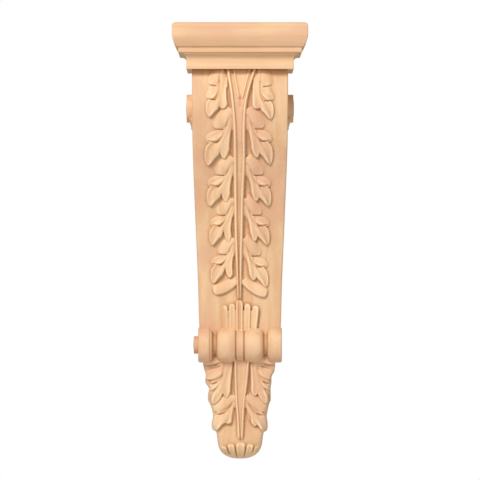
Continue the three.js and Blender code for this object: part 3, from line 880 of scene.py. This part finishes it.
    def carve(self, form: BracketForm) -> ReliefMap:
        """Carves the whole face.

        Args:
            form: The bracket that carries the carving.

        Returns:
            The map of heights.
        """
        relief = ReliefMap(form)
        for side in Side:
            self.blade(form, side).carve(relief)
            for leaf in reversed(self.leaves):
                for stroke in self.strokes(form, leaf, side):
                    stroke.carve(relief)
        for tip, foot_x, tip_x, half, rise, shape in self.palmette:
            low, high = float(form.height(self.palmette_foot)), float(form.height(tip))
            spine = tuple(
                (foot_x + (tip_x - foot_x) * share, low + (high - low) * share)
                for share in (0, 0.5, 1)
            )
            Lobe(spine, half, rise, shape, 1 if tip_x < 0 else -1).carve(relief)
        self.stem.carve(relief)
        for points, half, depth in self.seams:
            spine = tuple((x, float(form.height(level))) for x, level in points)
            Cut(spine, half, depth, -depth).carve(relief)
        self.carve_flutes(relief)
        relief.rise = relief.blurred(relief.rise, self.softening)
        chance = np.random.default_rng(self.seed)
        waves = relief.blurred(chance.standard_normal(relief.rise.shape), self.wave_size)
        relief.rise += waves * (self.wave_rise / waves.std())
        return relief

    def carve_flutes(self, relief: ReliefMap) -> None:
        """Raises the flutes round the tip.

        Args:
            relief: The map that is carved.
        """
        form = relief.form
        level = form.level(relief.z)[:, None]
        room = np.maximum(form.half_width(np.minimum(level, 1)), TINY)
        share = relief.x[None, :] / room
        for middle, half, top in self.flutes:
            down = np.clip((level - top) / (self.flute_end - top), 0, 1)
            opening = np.sin(np.clip(self.flute_round * down, 0, 1) * math.pi / 2)
            spread = self.flute_point + (1 - self.flute_point) * opening
            a = np.clip((share - middle) / (half * spread), -1, 1)
            profile = np.sqrt(1 - np.abs(a) ** 3) * (1 - self.flute_dish * (1 - a**2) ** 2)
            rise = self.flute_rise * opening * (1 - down**2 / 2) * profile
            relief.rise[:] = np.maximum(relief.rise, np.where(level >= top, rise, 0))


@dataclass(frozen=True)
class SideScroll:
    """The snail-like turn round each upper eye, in millimetres. Angles are in half turns."""

    level: float = 0.096
    inset: float = 47.0
    radius: float = 44.0
    inner: float = 17.0
    inner_width: float = 8.0
    rise: float = 3.6
    lowest: float = 0.2
    angles: tuple[float, float] = (-0.15, 1.78)
    swell: tuple[float, float] = (0.2, 0.9)
    dish: float = 0.62
    dish_end: float = 0.75
    rim: float = 0.14
    rim_place: float = 0.9
    rim_spread: float = 0.07
    edge: float = 1.6

    def height(self, form: BracketForm, y: np.ndarray, z: np.ndarray) -> np.ndarray:
        """Gives how far the scroll stands out from the side face.

        Args:
            form: The bracket that carries the scroll.
            y: Places out from the wall, negative.
            z: Heights.

        Returns:
            Heights above the side face.
        """
        centre_y = -(float(form.face(self.level)) - self.inset)
        centre_z = float(form.height(self.level))
        radius = np.hypot(y - centre_y, z - centre_z)
        turn = np.arctan2(z - centre_z, centre_y - y) / math.pi
        turn = np.where(turn < self.angles[0], turn + 2, turn)
        t = np.clip((turn - self.angles[0]) / (self.angles[1] - self.angles[0]), 0, 1)
        outer = self.radius + (self.inner + self.inner_width - self.radius) * t
        rise = self.lowest + self.rise * smooth_step(t, *self.swell)
        q = np.clip((radius - self.inner) / (outer - self.inner), 0, 1)
        rim = self.rim * np.exp(-(((q - self.rim_place) / self.rim_spread) ** 2))
        dished = 1 - self.dish * smooth_step(q, 0, self.dish_end) + rim
        rolled = np.sqrt(np.clip((1 - q) * (outer - self.inner) / self.edge, 0, 1))
        return np.where((q < 1) & (turn <= self.angles[1]), rise * dished * rolled, 0)


@dataclass(frozen=True)
class TurnedPiece:
    """A turned piece along x: its profile (along, radius) and its axis (y, z), in millimetres."""

    name: str
    profile: tuple[tuple[float, float], ...]
    axis: tuple[float, float]
    sides: int = 72
    spacing: float = 0.5

    def build(self, material: bpy.types.Material) -> bpy.types.Object:
        """Turns the profile into a closed mesh with Geometry Nodes.

        Args:
            material: Its material.

        Returns:
            The turned piece.
        """
        along, radius = (np.array(v, float) for v in zip(*self.profile))
        length, widest = along[-1] - along[0], radius.max()
        y, z = (value * MM for value in self.axis)
        values = {
            "Start": (along[0] * MM, y, z), "End": (along[-1] * MM, y, z),
            "Radius": float(widest) * MM, "Steps": int(length / self.spacing) + 1,
            "Sides": self.sides, "Material": material,
        }
        tree = open_tree(self.name + "_lathe", values)
        given = add_node(tree, "NodeGroupInput").outputs
        line = add_node(tree, "GeometryNodeCurvePrimitiveLine",
                        inputs={"Start": given["Start"], "End": given["End"]})
        fine = add_node(tree, "GeometryNodeResampleCurve",
                        inputs={"Curve": line.outputs[0], "Count": given["Steps"]})
        place = add_node(tree, "GeometryNodeSplineParameter").outputs["Factor"]
        knots = [((a - along[0]) / length, r / widest) for a, r in zip(along, radius)]
        scale = add_node(tree, "ShaderNodeMath", {"operation": "MULTIPLY"},
                         {0: add_curve(tree, place, knots), 1: given["Radius"]})
        ring = add_node(tree, "GeometryNodeCurvePrimitiveCircle",
                        inputs={"Radius": 1.0, "Resolution": given["Sides"]})
        turned = add_node(tree, "GeometryNodeCurveToMesh",
                          inputs={"Curve": fine.outputs[0], "Profile Curve": ring.outputs[0],
                                  "Scale": scale.outputs[0], "Fill Caps": True})
        close_tree(tree, turned.outputs[0], given["Material"])
        return grown(self.name, tree, values)


def grown(
    name: str, tree: bpy.types.NodeTree, values: dict[str, object]
) -> bpy.types.Object:
    """Runs a Geometry Nodes tree and keeps its result as a plain mesh.

    Args:
        name: The new object's name.
        tree: The tree, with its inputs named as in values.
        values: The inputs' values.

    Returns:
        An object with the finished mesh and no modifier.
    """
    seed = placed(name + "_seed", bpy.data.meshes.new(name + "_seed"))
    modifier = seed.modifiers.new("grow", "NODES")
    modifier.node_group = tree
    for item in tree.interface.items_tree:
        if item.in_out == "INPUT" and item.name in values:
            modifier[item.identifier] = values[item.name]
    mesh = evaluated(seed)
    mesh.name = name
    bpy.data.objects.remove(seed)
    return placed(name, mesh)


def applied(piece: bpy.types.Object) -> None:
    """Turns a piece with live modifiers into its finished mesh.

    Args:
        piece: The object, whose modifiers are removed.
    """
    mesh = evaluated(piece)
    piece.modifiers.clear()
    piece.data = mesh


@dataclass(frozen=True)
class RollForm:
    """The turned roll: a collar between two beads, with a disc at each end, in millimetres."""

    diameter: float = 45.5
    length: float = 107.6
    reach: float = 70.0
    disc_length: float = 17.6
    disc_fillet: float = 3.0
    fillet_step: float = 0.4
    edge: float = 1.6
    edge_start: float = 0.5
    scotia_length: float = 5.2
    scotia_depth: float = 9.0
    collar_length: float = 10.6
    collar_depth: float = 2.4
    groove_width: float = 1.4
    groove_depth: float = 5.5
    bead_steps: int = 17
    bead_crest: float = 0.4
    bead_inner_fall: float = 0.2
    bead_round: float = 2.5

    def profile(self) -> tuple[tuple[float, float], ...]:
        """Gives the roll's profile from its left end to its right end.

        Returns:
            Pairs of the place along and the radius.
        """
        radius, half = self.diameter / 2, self.length / 2
        disc = half - self.disc_length
        bead_end, collar = disc - self.scotia_length, self.collar_length / 2
        bead_start = collar + self.groove_width
        neck, groove = radius - self.scotia_depth, radius - self.groove_depth
        right = [(collar - self.groove_width, radius - self.collar_depth), (collar, groove)]
        for t in np.linspace(0, 1, self.bead_steps):
            if t < self.bead_crest:
                fall = self.bead_inner_fall * (1 - t / self.bead_crest) ** 2
            else:
                outward = (t - self.bead_crest) / (1 - self.bead_crest)
                fall = 1 - (1 - outward**self.bead_round) ** (1 / self.bead_round)
            along = bead_start + (bead_end - bead_start) * t
            right.append((along, radius - fall * (radius - neck)))
        right += [
            (disc - self.groove_width, neck), (disc, radius - self.disc_fillet),
            (disc + self.disc_fillet, radius - self.edge),
            (disc + self.disc_fillet + self.fillet_step, radius),
            (half - self.edge, radius), (half - self.edge_start, radius - self.edge_start),
            (half, radius - self.edge),
        ]
        return (*((-along, out) for along, out in reversed(right)), *right)


@dataclass(frozen=True)
class EyeForm:
    """A scroll's round eye, with a rounded rim and a hollow face, in millimetres.

    A point of the rim lies so far back from the eye's end, and so far in from its radius.
    """

    radius: float
    height: float
    sink: float = 5.0
    spacing: float = 0.4
    rim: tuple[tuple[float, float], ...] = ((2.0, 0.0), (0.6, 0.6), (0.0, 2.2), (0.4, 3.6))
    hollow: float = 1.2
    hollow_share: float = 0.55
    middle: tuple[float, float] = (1.3, 0.3)

    def part(self, name: str, side: Side, start: float, axis: tuple[float, float]) -> TurnedPiece:
        """Gives the eye at its place.

        Args:
            name: The eye's name.
            side: The side that it stands on.
            start: The distance from the middle to the face that it stands on.
            axis: Its centre's y and z.

        Returns:
            The eye, ready to be turned.
        """
        end = start + self.height
        line = [(start - self.sink, self.radius)]
        line += [(end - back, self.radius - inward) for back, inward in self.rim]
        line.append((end - self.hollow, self.radius * self.hollow_share))
        line.append((end - self.middle[0], self.middle[1]))
        profile = tuple((side.value * along, out) for along, out in line)
        ordered = profile if side is Side.RIGHT else profile[::-1]
        return TurnedPiece(name, ordered, axis, spacing=self.spacing)


@dataclass(frozen=True)
class PaintedShadeAndHighlight:
    """How deep each point of the body lies among its neighbours, in millimetres.

    The wood's colours use it for painted shade in sunk places and a painted highlight on raised
    ridges.
    Bare ground counts as sunk, and so do the roll's grooves and the painted shadow line below the
    cap.
    """

    softness: float = 2.0
    ground_shade: float = 0.8
    bare_rise: tuple[float, float] = (0.2, 2.0)
    skin: float = 1.0
    cap_shadow: float = 2.5
    cap_shadow_reach: float = 3.0
    roll_slack: float = 0.1
    roll_clear: float = 0.5
    roll_deepest: float = 6.0
    roll_shade: float = 2.0
    most_raised: float = -2.0
    most_sunk: float = 3.0

    def depths(self, piece: bpy.types.Object, relief: ReliefMap, roll: RollForm) -> np.ndarray:
        """Works out the depth at each point, for the painted shade and the painted highlight.

        Args:
            piece: The body.
            relief: The carving on its face.
            roll: The roll across it.

        Returns:
            Depths, from most_raised to most_sunk, above 0 in the sunk places.
        """
        form = relief.form
        # Points lower than their blurred surroundings get painted shade in creases; higher points
        # get a painted highlight on crests.
        crease_shade_crest_highlight = relief.blurred(relief.rise, self.softness) - relief.rise
        places = np.empty(len(piece.data.vertices) * 3)
        piece.data.vertices.foreach_get("co", places)
        x, y, z = (places.reshape(-1, 3) / MM).T
        level = np.clip(form.level(z), 0, 1)
        out = -y - form.face(level)
        front = out > -self.skin
        raised = relief.sample(x, z)
        # Bare ground between the carving gets extra painted shade.
        bare = 1 - smooth_step(raised, *self.bare_rise)
        depth = np.where(front, relief.sample(x, z, crease_shade_crest_highlight) + self.ground_shade * bare, 0)
        radius = roll.diameter / 2
        from_axis = np.hypot(y + roll.reach - radius, z - float(form.height(form.roll_level)))
        on_roll = (from_axis < radius + self.roll_slack) & (np.abs(x) < roll.length / 2)
        on_roll &= out > raised + self.roll_clear
        # The roll's grooves get painted shade, darker the deeper they are cut.
        sunk = np.clip(radius - from_axis, 0, self.roll_deepest)
        depth = np.where(on_roll, sunk * (self.roll_shade / self.roll_deepest), depth)
        # A painted shadow just below the cap, fading downwards.
        shadow = self.cap_shadow * np.exp(-level * form.length / self.cap_shadow_reach)
        depth = depth + np.where(front, shadow, 0)
        return np.clip(depth, self.most_raised, self.most_sunk).astype(np.float32)


@dataclass(frozen=True)
class CarvedBody:
    """Everything below the cap, carved from one piece of wood. Sizes are in millimetres.

    The overhangs are how far the tail's leaves stand out past its sides, at each level.
    """

    form: BracketForm
    carving: FrontCarving = FrontCarving()
    scroll: SideScroll = SideScroll()
    roll: RollForm = RollForm()
    eye: EyeForm = EyeForm(18.0, 9.4)
    small_eye: EyeForm = EyeForm(11.3, 7.7)
    painted_light_depths: PaintedShadeAndHighlight = PaintedShadeAndHighlight()
    scroll_fade: float = 3.0
    row_step: float = 0.62
    tip_rows: int = 60
    last_level: float = 0.9999
    front_columns: int = 221
    side_columns: int = 64
    edge_columns: int = 5
    overhang_depth: float = 16.0
    overhang_left: Stations = Stations((
        (0.0, 0), (0.7, 0), (0.74, 3.6), (0.763, 4.3), (0.7785, 3.0), (0.799, 4.9), (0.815, 1.3),
        (0.83, 3.4), (0.846, 4.4), (0.857, 2.6), (0.868, 1.4), (0.888, 1.2), (0.906, 4.3),
        (0.922, 4.6), (0.9285, 0), (1, 0),
    ))
    overhang_right: Stations = Stations((
        (0.0, 0), (0.7, 0), (0.74, 1.7), (0.771, 2.5), (0.7836, 0), (0.8, 0.8), (0.815, 0.6),
        (0.846, 2.8), (0.8565, 1.5), (0.8877, 0.9), (0.906, 3.4), (0.924, 3.9), (0.931, 0), (1, 0),
    ))
    triangles: int = 174000
    crease: float = 60.0

    def build(self, material: bpy.types.Material) -> bpy.types.Object:
        """Carves the body and joins the turned roll and the eyes to it.

        Args:
            material: Its material.

        Returns:
            One closed piece.
        """
        relief = self.carving.carve(self.form)
        piece = self.bracket(relief)
        LOG.info("bracket: %d faces before thinning", len(piece.data.polygons))
        thin = piece.modifiers.new("thin", "DECIMATE")
        thin.ratio = self.triangles / (2 * len(piece.data.polygons))
        applied(piece)
        piece.data.materials.append(material)
        turned = [part.build(material) for part in self.turned_parts()]
        for part in turned:
            join = piece.modifiers.new(part.name, "BOOLEAN")
            join.operation = "UNION"
            join.solver = "MANIFOLD"
            join.object = part
        applied(piece)
        for part in turned:
            bpy.data.objects.remove(part)
        # The hollow attribute carries the painted shade in sunk places and the painted highlight on
        # raised ridges.
        attribute = piece.data.attributes.new("hollow", "FLOAT", "POINT")
        attribute.data.foreach_set("value", self.painted_light_depths.depths(piece, relief, self.roll))
        return piece

    def bracket(self, relief: ReliefMap) -> bpy.types.Object:
        """Makes the carved bracket as one closed mesh of rings.

        Args:
            relief: The carving on its face.

        Returns:
            The bracket, without the roll and the eyes.
        """
        form = self.form
        straight = np.linspace(0, form.tip_start, int(form.tip_start * form.length / self.row_step))
        turn = np.linspace(0, 1, self.tip_rows + 1)[1:] * math.pi / 2
        tip = form.tip_start + (self.last_level - form.tip_start) * np.sin(turn)
        level = np.concatenate([straight, tip])[:, None]
        z = form.height(level)
        half, face, bend = form.half_width(level), form.face(level), form.rounding(level)
        sides = []
        for sign, overhang in ((1, self.overhang_right), (-1, self.overhang_left)):
            over = overhang.at(level)
            out = np.linspace(0, 1, self.side_columns)[None, :]
            y = -(face - bend) * out
            fading = smooth_step(face - bend + y, 0, self.scroll_fade)
            lift = self.scroll.height(form, y, z) * fading
            ahead = smooth_step(-y, face - self.overhang_depth, face)
            x = half + lift + over * ahead
            turn = np.linspace(0, math.pi / 2, self.edge_columns + 1)[None, 1:-1]
            edge_x = half + over - bend * (1 - np.cos(turn))
            edge_y = -(face - bend * (1 - np.sin(turn)))
            edge_y = edge_y - relief.sample(sign * edge_x, z + 0 * edge_x) * np.sin(turn) ** 2
            sides.append((sign * np.hstack([x, edge_x]), np.hstack([y, edge_y])))
        right_end = half + self.overhang_right.at(level) - bend
        left_end = -(half + self.overhang_left.at(level) - bend)
        share = np.linspace(0, 1, self.front_columns)[None, :]
        front_x = right_end + (left_end - right_end) * share
        front_y = -(face + relief.sample(front_x, z + 0 * front_x))
        x = np.hstack([sides[0][0], front_x, sides[1][0][:, ::-1]])
        y = np.hstack([sides[0][1], front_y, sides[1][1][:, ::-1]])
        points = np.stack([x, y, z + 0 * x], -1) * MM
        return ring_mesh("carved_relief", points)

    def turned_parts(self) -> list[TurnedPiece]:
        """Gives the roll, an eye on each side, and a small eye on the roll's left end.

        Returns:
            The parts, ready to be turned.
        """
        form, level = self.form, self.scroll.level
        start = float(form.half_width(level))
        high = (-(float(form.face(level)) - self.scroll.inset), float(form.height(level)))
        low = (-(self.roll.reach - self.roll.diameter / 2), float(form.height(form.roll_level)))
        return [
            TurnedPiece("roll", self.roll.profile(), low),
            self.eye.part("eye_left", Side.LEFT, start, high),
            self.eye.part("eye_right", Side.RIGHT, start, high),
            self.small_eye.part("eye_roll", Side.LEFT, self.roll.length / 2, low),
        ]


def ring_mesh(name: str, points: np.ndarray) -> bpy.types.Object:
    """Makes a closed mesh from rings of points, one above the other.

    Args:
        name: The new object's name.
        points: Rings by points by xyz, in metres.

    Returns:
        The object.
    """
    rings, count, _ = points.shape
    index = np.arange(rings * count).reshape(rings, count)
    beside = np.roll(index, -1, axis=1)
    quads = np.stack([index[:-1], beside[:-1], beside[1:], index[1:]], -1).reshape(-1, 4)
    faces = [*quads.tolist(), index[0][::-1].tolist(), index[-1].tolist()]
    mesh = bpy.data.meshes.new(name)
    mesh.from_pydata(points.reshape(-1, 3).tolist(), [], faces)
    return placed(name, mesh)


@dataclass(frozen=True)
class CapMoulding:
    """The moulded cap: a convex band, a fillet and a cove, returned round three sides. Millimetres.

    The section and the corners are worked out in Geometry Nodes, one sum to a line: its name, the
    operation, and the names or the numbers that go in. Points are crowded towards the corners.
    """

    top: float
    width: float
    depth: float
    top_round: float = 5.0
    top_round_in: float = 4.2
    band_face: float = 11.0
    band_turn: float = 14.5
    band_in: float = 5.6
    band_curve: float = 1.6
    quirk: float = 2.2
    fillet: float = 7.0
    lip: float = 3.4
    cove: float = 10.0
    cove_in: float = 6.8
    foot: float = 10.5
    corner: float = 0.9
    chamfer: float = 0.25
    curve_steps: int = 9
    rows: int = 241
    columns: int = 33
    crease: float = 28.0

    SUMS: ClassVar[tuple[tuple[str | float, ...], ...]] = (
        ("inset", "MULTIPLY", "curve", "Inset"),
        ("half", "SUBTRACT", "Half Width", "inset"),
        ("-half", "MULTIPLY", "half", -1.0),
        ("reach", "SUBTRACT", "Depth", "inset"),
        ("-reach", "MULTIPLY", "reach", -1.0),
        ("x", "SMOOTHERSTEP", "u", -1.0, 1.0, "-half", "half"),
        ("y", "SMOOTHERSTEP", "v", -1.0, 1.0, "-reach", 0.0),
        ("core x", "SUBTRACT", "half", "Corner"),
        ("-core x", "MULTIPLY", "core x", -1.0),
        ("core y", "SUBTRACT", "Corner", "reach"),
        ("below x", "MINIMUM", "x", "core x"),
        ("held x", "MAXIMUM", "below x", "-core x"),
        ("held y", "MAXIMUM", "y", "core y"),
        ("off x", "SUBTRACT", "x", "held x"),
        ("off y", "SUBTRACT", "y", "held y"),
        ("size x", "ABSOLUTE", "off x"),
        ("size y", "ABSOLUTE", "off y"),
        ("largest", "MAXIMUM", "size x", "size y"),
        ("square x", "MULTIPLY", "off x", "off x"),
        ("square", "MULTIPLY_ADD", "off y", "off y", "square x"),
        ("far", "SQRT", "square"),
        ("safe far", "MAXIMUM", "far", 1e-9),
        ("pull", "DIVIDE", "largest", "safe far"),
        ("new x", "MULTIPLY_ADD", "off x", "pull", "held x"),
        ("new y", "MULTIPLY_ADD", "off y", "pull", "held y"),
        ("fall", "MULTIPLY", "down", "Height"),
        ("new z", "SUBTRACT", "Top", "fall"),
    )

    def profile(self) -> list[tuple[float, float]]:
        """Gives the moulding's side view.

        Returns:
            Pairs of the distance down from the top and the distance in from the widest line.
        """
        turns = np.linspace(0, math.pi / 2, self.curve_steps)
        line = [
            (self.top_round * (1 - math.cos(a)), self.top_round_in * (1 - math.sin(a)))
            for a in turns
        ]
        down = self.top_round + self.band_face
        line += [
            (down + self.band_turn * s, self.band_in * s**self.band_curve)
            for s in np.linspace(0, 1, self.curve_steps)
        ]
        down += self.band_turn
        inset = self.band_in + self.quirk
        line += [(down + self.chamfer, inset), (down + self.fillet, inset)]
        down += self.fillet
        inset += self.lip
        line += [
            (down + self.chamfer + (self.cove - self.chamfer) * (1 - math.cos(a)),
             inset + self.cove_in * math.sin(a))
            for a in turns
        ]
        return [*line, (down + self.cove + self.foot, inset + self.cove_in)]

    def build(self, material: bpy.types.Material) -> bpy.types.Object:
        """Shapes a fine block to the profile with Geometry Nodes.

        Args:
            material: Its material.

        Returns:
            The cap as one closed piece.
        """
        line = self.profile()
        height, deepest = line[-1][0], line[-1][1]
        settled = {
            "Half Width": self.width / 2 * MM, "Depth": self.depth * MM, "Top": self.top * MM,
            "Height": height * MM, "Inset": deepest * MM, "Corner": self.corner * MM,
            "Columns": self.columns, "Rows": self.rows, "Material": material,
        }
        tree = open_tree("cap_profile", settled)
        given = add_node(tree, "NodeGroupInput").outputs
        block = add_node(tree, "GeometryNodeMeshCube",
                         inputs={"Size": (2, 2, 2), "Vertices X": given["Columns"],
                                 "Vertices Y": given["Columns"], "Vertices Z": given["Rows"]})
        start = add_node(tree, "GeometryNodeInputPosition").outputs[0]
        u, v, w = add_node(tree, "ShaderNodeSeparateXYZ", inputs={0: start}).outputs
        falling = add_node(tree, "ShaderNodeMapRange",
                           inputs={0: w, 1: -1.0, 2: 1.0, 3: 1.0, 4: 0.0})
        down = falling.outputs[0]
        found = {label: given[label] for label in settled} | {"down": down, "u": u, "v": v}
        found["curve"] = add_curve(tree, down, [(d / height, i / deepest) for d, i in line])
        for label, operation, *sources in self.SUMS:
            spread = operation == "SMOOTHERSTEP"
            kind = "ShaderNodeMapRange" if spread else "ShaderNodeMath"
            settings = {"interpolation_type" if spread else "operation": operation}
            values = {key: found.get(source, source) for key, source in enumerate(sources)}
            found[label] = add_node(tree, kind, settings, values).outputs[0]
        place = add_node(tree, "ShaderNodeCombineXYZ",
                         inputs={0: found["new x"], 1: found["new y"], 2: found["new z"]})
        moved = add_node(tree, "GeometryNodeSetPosition",
                         inputs={"Geometry": block.outputs[0], "Position": place.outputs[0]})
        close_tree(tree, moved.outputs[0], given["Material"])
        return grown("moulded_cap", tree, settled)


@dataclass(frozen=True)
class Tint:
    """A colour that comes in as a pattern's value goes from low to high, up to the share most."""

    pattern: str
    low: float
    high: float
    most: float
    colour: str


@dataclass(frozen=True)
class RawWood:
    """Raw close-grained hardwood, as it comes from the carver: matt, pale and unstained.

    Carving and sanding leave it matt, with a soft broad sheen. Fine fibres run along the grain,
    with broad soft bands and patches of pink and straw. Sunk places are painted darker as painted
    shade, and raised ridges paler as a painted highlight. The patterns' sizes are in millimetres,
    across the grain and along it, with their detail and warp. The fibres are drawn coarser than
    real pores, which wouldn't show.
    """

    name: str
    grain: Grain
    pale: str = "#eec69b"
    tints: tuple[Tint, ...] = (
        Tint("bands", 0.35, 0.68, 0.85, "#e0b283"),
        Tint("patches", 0.42, 0.66, 0.8, "#e2b08c"),
        Tint("fibres", 0.5, 0.8, 0.16, "#ad7748"),
        # Painted highlight on raised ridges and crests.
        Tint("hollow", -0.1, -1.6, 0.6, "#fbe2bd"),
        # Painted shade in creases, on bare ground, in the roll's grooves and below the cap.
        Tint("hollow", 0.15, 2.6, 0.6, "#ad7748"),
    )
    patterns: tuple[tuple[str, float, float, float, float], ...] = (
        ("fibres", 1.1, 38.0, 4.0, 0.0),
        ("bands", 11.0, 210.0, 2.0, 0.6),
        ("patches", 62.0, 99.0, 2.0, 0.0),
    )
    roughness: float = 0.62
    ior: float = 1.45
    bump: float = 0.25
    bump_height: float = 0.3

    def material(self) -> bpy.types.Material:
        """Makes the finish.

        Returns:
            The material.
        """
        material = bpy.data.materials.new(self.name)
        material.use_nodes = True
        tree = material.node_tree
        tree.nodes.clear()
        place = add_node(tree, "ShaderNodeTexCoord").outputs["Object"]
        # The hollow attribute drives the painted shade and the painted highlight in the colour.
        hollow = add_node(tree, "ShaderNodeAttribute", {"attribute_name": "hollow"})
        found = {"hollow": hollow.outputs["Fac"]}
        for pattern, across_grain, along_grain, detail, warp in self.patterns:
            sizes = [along_grain if axis == self.grain.value else across_grain for axis in range(3)]
            scale = [1 / (size * MM) for size in sizes]
            scaled = add_node(tree, "ShaderNodeMapping", inputs={"Vector": place, "Scale": scale})
            noise = add_node(tree, "ShaderNodeTexNoise",
                             inputs={"Vector": scaled.outputs[0], "Scale": 1.0, "Detail": detail,
                                     "Distortion": warp})
            found[pattern] = noise.outputs["Fac"]
        colour = linear(self.pale)
        for tint in self.tints:
            ends = {0: found[tint.pattern], 1: tint.low, 2: tint.high, 3: 0.0, 4: tint.most}
            share = add_node(
                tree, "ShaderNodeMapRange", {"interpolation_type": "SMOOTHSTEP"}, ends
            )
            blend = {"Factor": share.outputs[0], MIX_FROM: colour, MIX_TO: linear(tint.colour)}
            mixed = add_node(tree, "ShaderNodeMix", {"data_type": "RGBA"}, blend)
            colour = mixed.outputs[MIX_RESULT]
        bump = add_node(tree, "ShaderNodeBump",
                        inputs={"Strength": self.bump, "Distance": self.bump_height * MM,
                                "Height": found["fibres"]})
        shader = add_node(tree, "ShaderNodeBsdfPrincipled",
                          inputs={"Base Color": colour, "Roughness": self.roughness,
                                  "IOR": self.ior, "Normal": bump.outputs[0]})
        add_node(tree, "ShaderNodeOutputMaterial", inputs={"Surface": shader.outputs[0]})
        return material


@dataclass(frozen=True)
class Studio:
    """A plain pale floor, soft lights and the camera, in metres."""

    distance: float = 4.0
    eye_height: float = 0.0047
    sensor: float = 36.0
    lens: float = 229.7
    floor_drop: float = 0.55
    floor_size: float = 2.4
    white: str = "#f4f4f2"
    matt: float = 0.9
    ambient: float = 0.33
    lamps: tuple[tuple[str, tuple[float, float, float], float, float], ...] = (
        ("key", (-1.2, -2.8, 2.0), 1.1, 98.0),
        ("fill", (1.6, -3.0, 0.3), 1.6, 14.0),
    )

    def build(self) -> None:
        """Sets up the floor, the lights, the world and the camera."""
        scene = bpy.context.scene
        scene.view_settings.view_transform = "Standard"
        self.floor()
        for lamp in self.lamps:
            self.light(*lamp)
        self.room()
        camera = placed("camera", bpy.data.cameras.new("camera"))
        camera.data.sensor_width = self.sensor
        camera.data.lens = self.lens
        camera.location = (0, -self.distance, self.eye_height)
        camera.rotation_euler = (math.pi / 2, 0, 0)
        scene.camera = camera

    def room(self) -> None:
        """Makes a white room that shows bright and lights the object softly."""
        world = bpy.data.worlds.new("white_room")
        world.use_nodes = True
        tree = world.node_tree
        seen = add_node(tree, "ShaderNodeLightPath").outputs["Is Camera Ray"]
        glow = add_node(tree, "ShaderNodeMapRange", inputs={0: seen, 3: self.ambient, 4: 1.0})
        tree.nodes["Background"].inputs["Color"].default_value = (1, 1, 1, 1)
        tree.links.new(glow.outputs[0], tree.nodes["Background"].inputs["Strength"])
        bpy.context.scene.world = world

    def floor(self) -> None:
        """Lays the pale floor below the object, in rolled paint that is even and matt."""
        half, low = self.floor_size / 2, -self.floor_drop
        corners = [(-half, -half, low), (half, -half, low), (half, half, low), (-half, half, low)]
        mesh = bpy.data.meshes.new("floor")
        mesh.from_pydata(corners, [], [(0, 1, 2, 3)])
        paint = bpy.data.materials.new("matt_white_paint")
        paint.use_nodes = True
        shader = paint.node_tree.nodes["Principled BSDF"]
        shader.inputs["Base Color"].default_value = linear(self.white)
        shader.inputs["Roughness"].default_value = self.matt
        mesh.materials.append(paint)
        placed("floor", mesh)

    def light(
        self, name: str, place: tuple[float, float, float], size: float, power: float
    ) -> None:
        """Adds a soft square light that faces the object.

        Args:
            name: The light's name.
            place: Where it stands.
            size: The side of the square.
            power: Its power in watts.
        """
        lamp = placed(name, bpy.data.lights.new(name, "AREA"))
        lamp.data.size = size
        lamp.data.energy = power
        lamp.location = place
        lamp.rotation_euler = (-Vector(place)).to_track_quat("-Z", "Y").to_euler()


def finish(piece: bpy.types.Object, node: str, crease: float) -> None:
    """Smooths a piece and ties it to the frame.

    Args:
        piece: The finished mesh, in its material.
        node: The CAD node that it stands for.
        crease: The angle in degrees past which an edge stays sharp.
    """
    piece.data.polygons.foreach_set("use_smooth", [True] * len(piece.data.polygons))
    piece.data.set_sharp_from_angle(angle=math.radians(crease))
    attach(piece, "root")
    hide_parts(node)
    LOG.info("%s: %d faces for %s", piece.name, len(piece.data.polygons), node)


def main() -> None:
    """Builds the body, the cap and the studio."""
    logging.basicConfig(level=logging.INFO, format="%(name)s: %(message)s")
    body_low, body_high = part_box("carved_body")
    cap_low, cap_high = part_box("cap_moulding")
    form = BracketForm(top=body_high.z / MM, length=(body_high.z - body_low.z) / MM)
    body = CarvedBody(form)
    carved_wood = RawWood("raw_hardwood_carved", Grain.DOWN).material()
    finish(body.build(carved_wood), "carved_body", body.crease)
    cap = CapMoulding(cap_high.z / MM, (cap_high.x - cap_low.x) / MM, -cap_low.y / MM)
    sanded_wood = RawWood("raw_hardwood_sanded", Grain.ACROSS).material()
    finish(cap.build(sanded_wood), "cap_moulding", cap.crease)
    Studio().build()


if __name__ == "__main__":
    main()
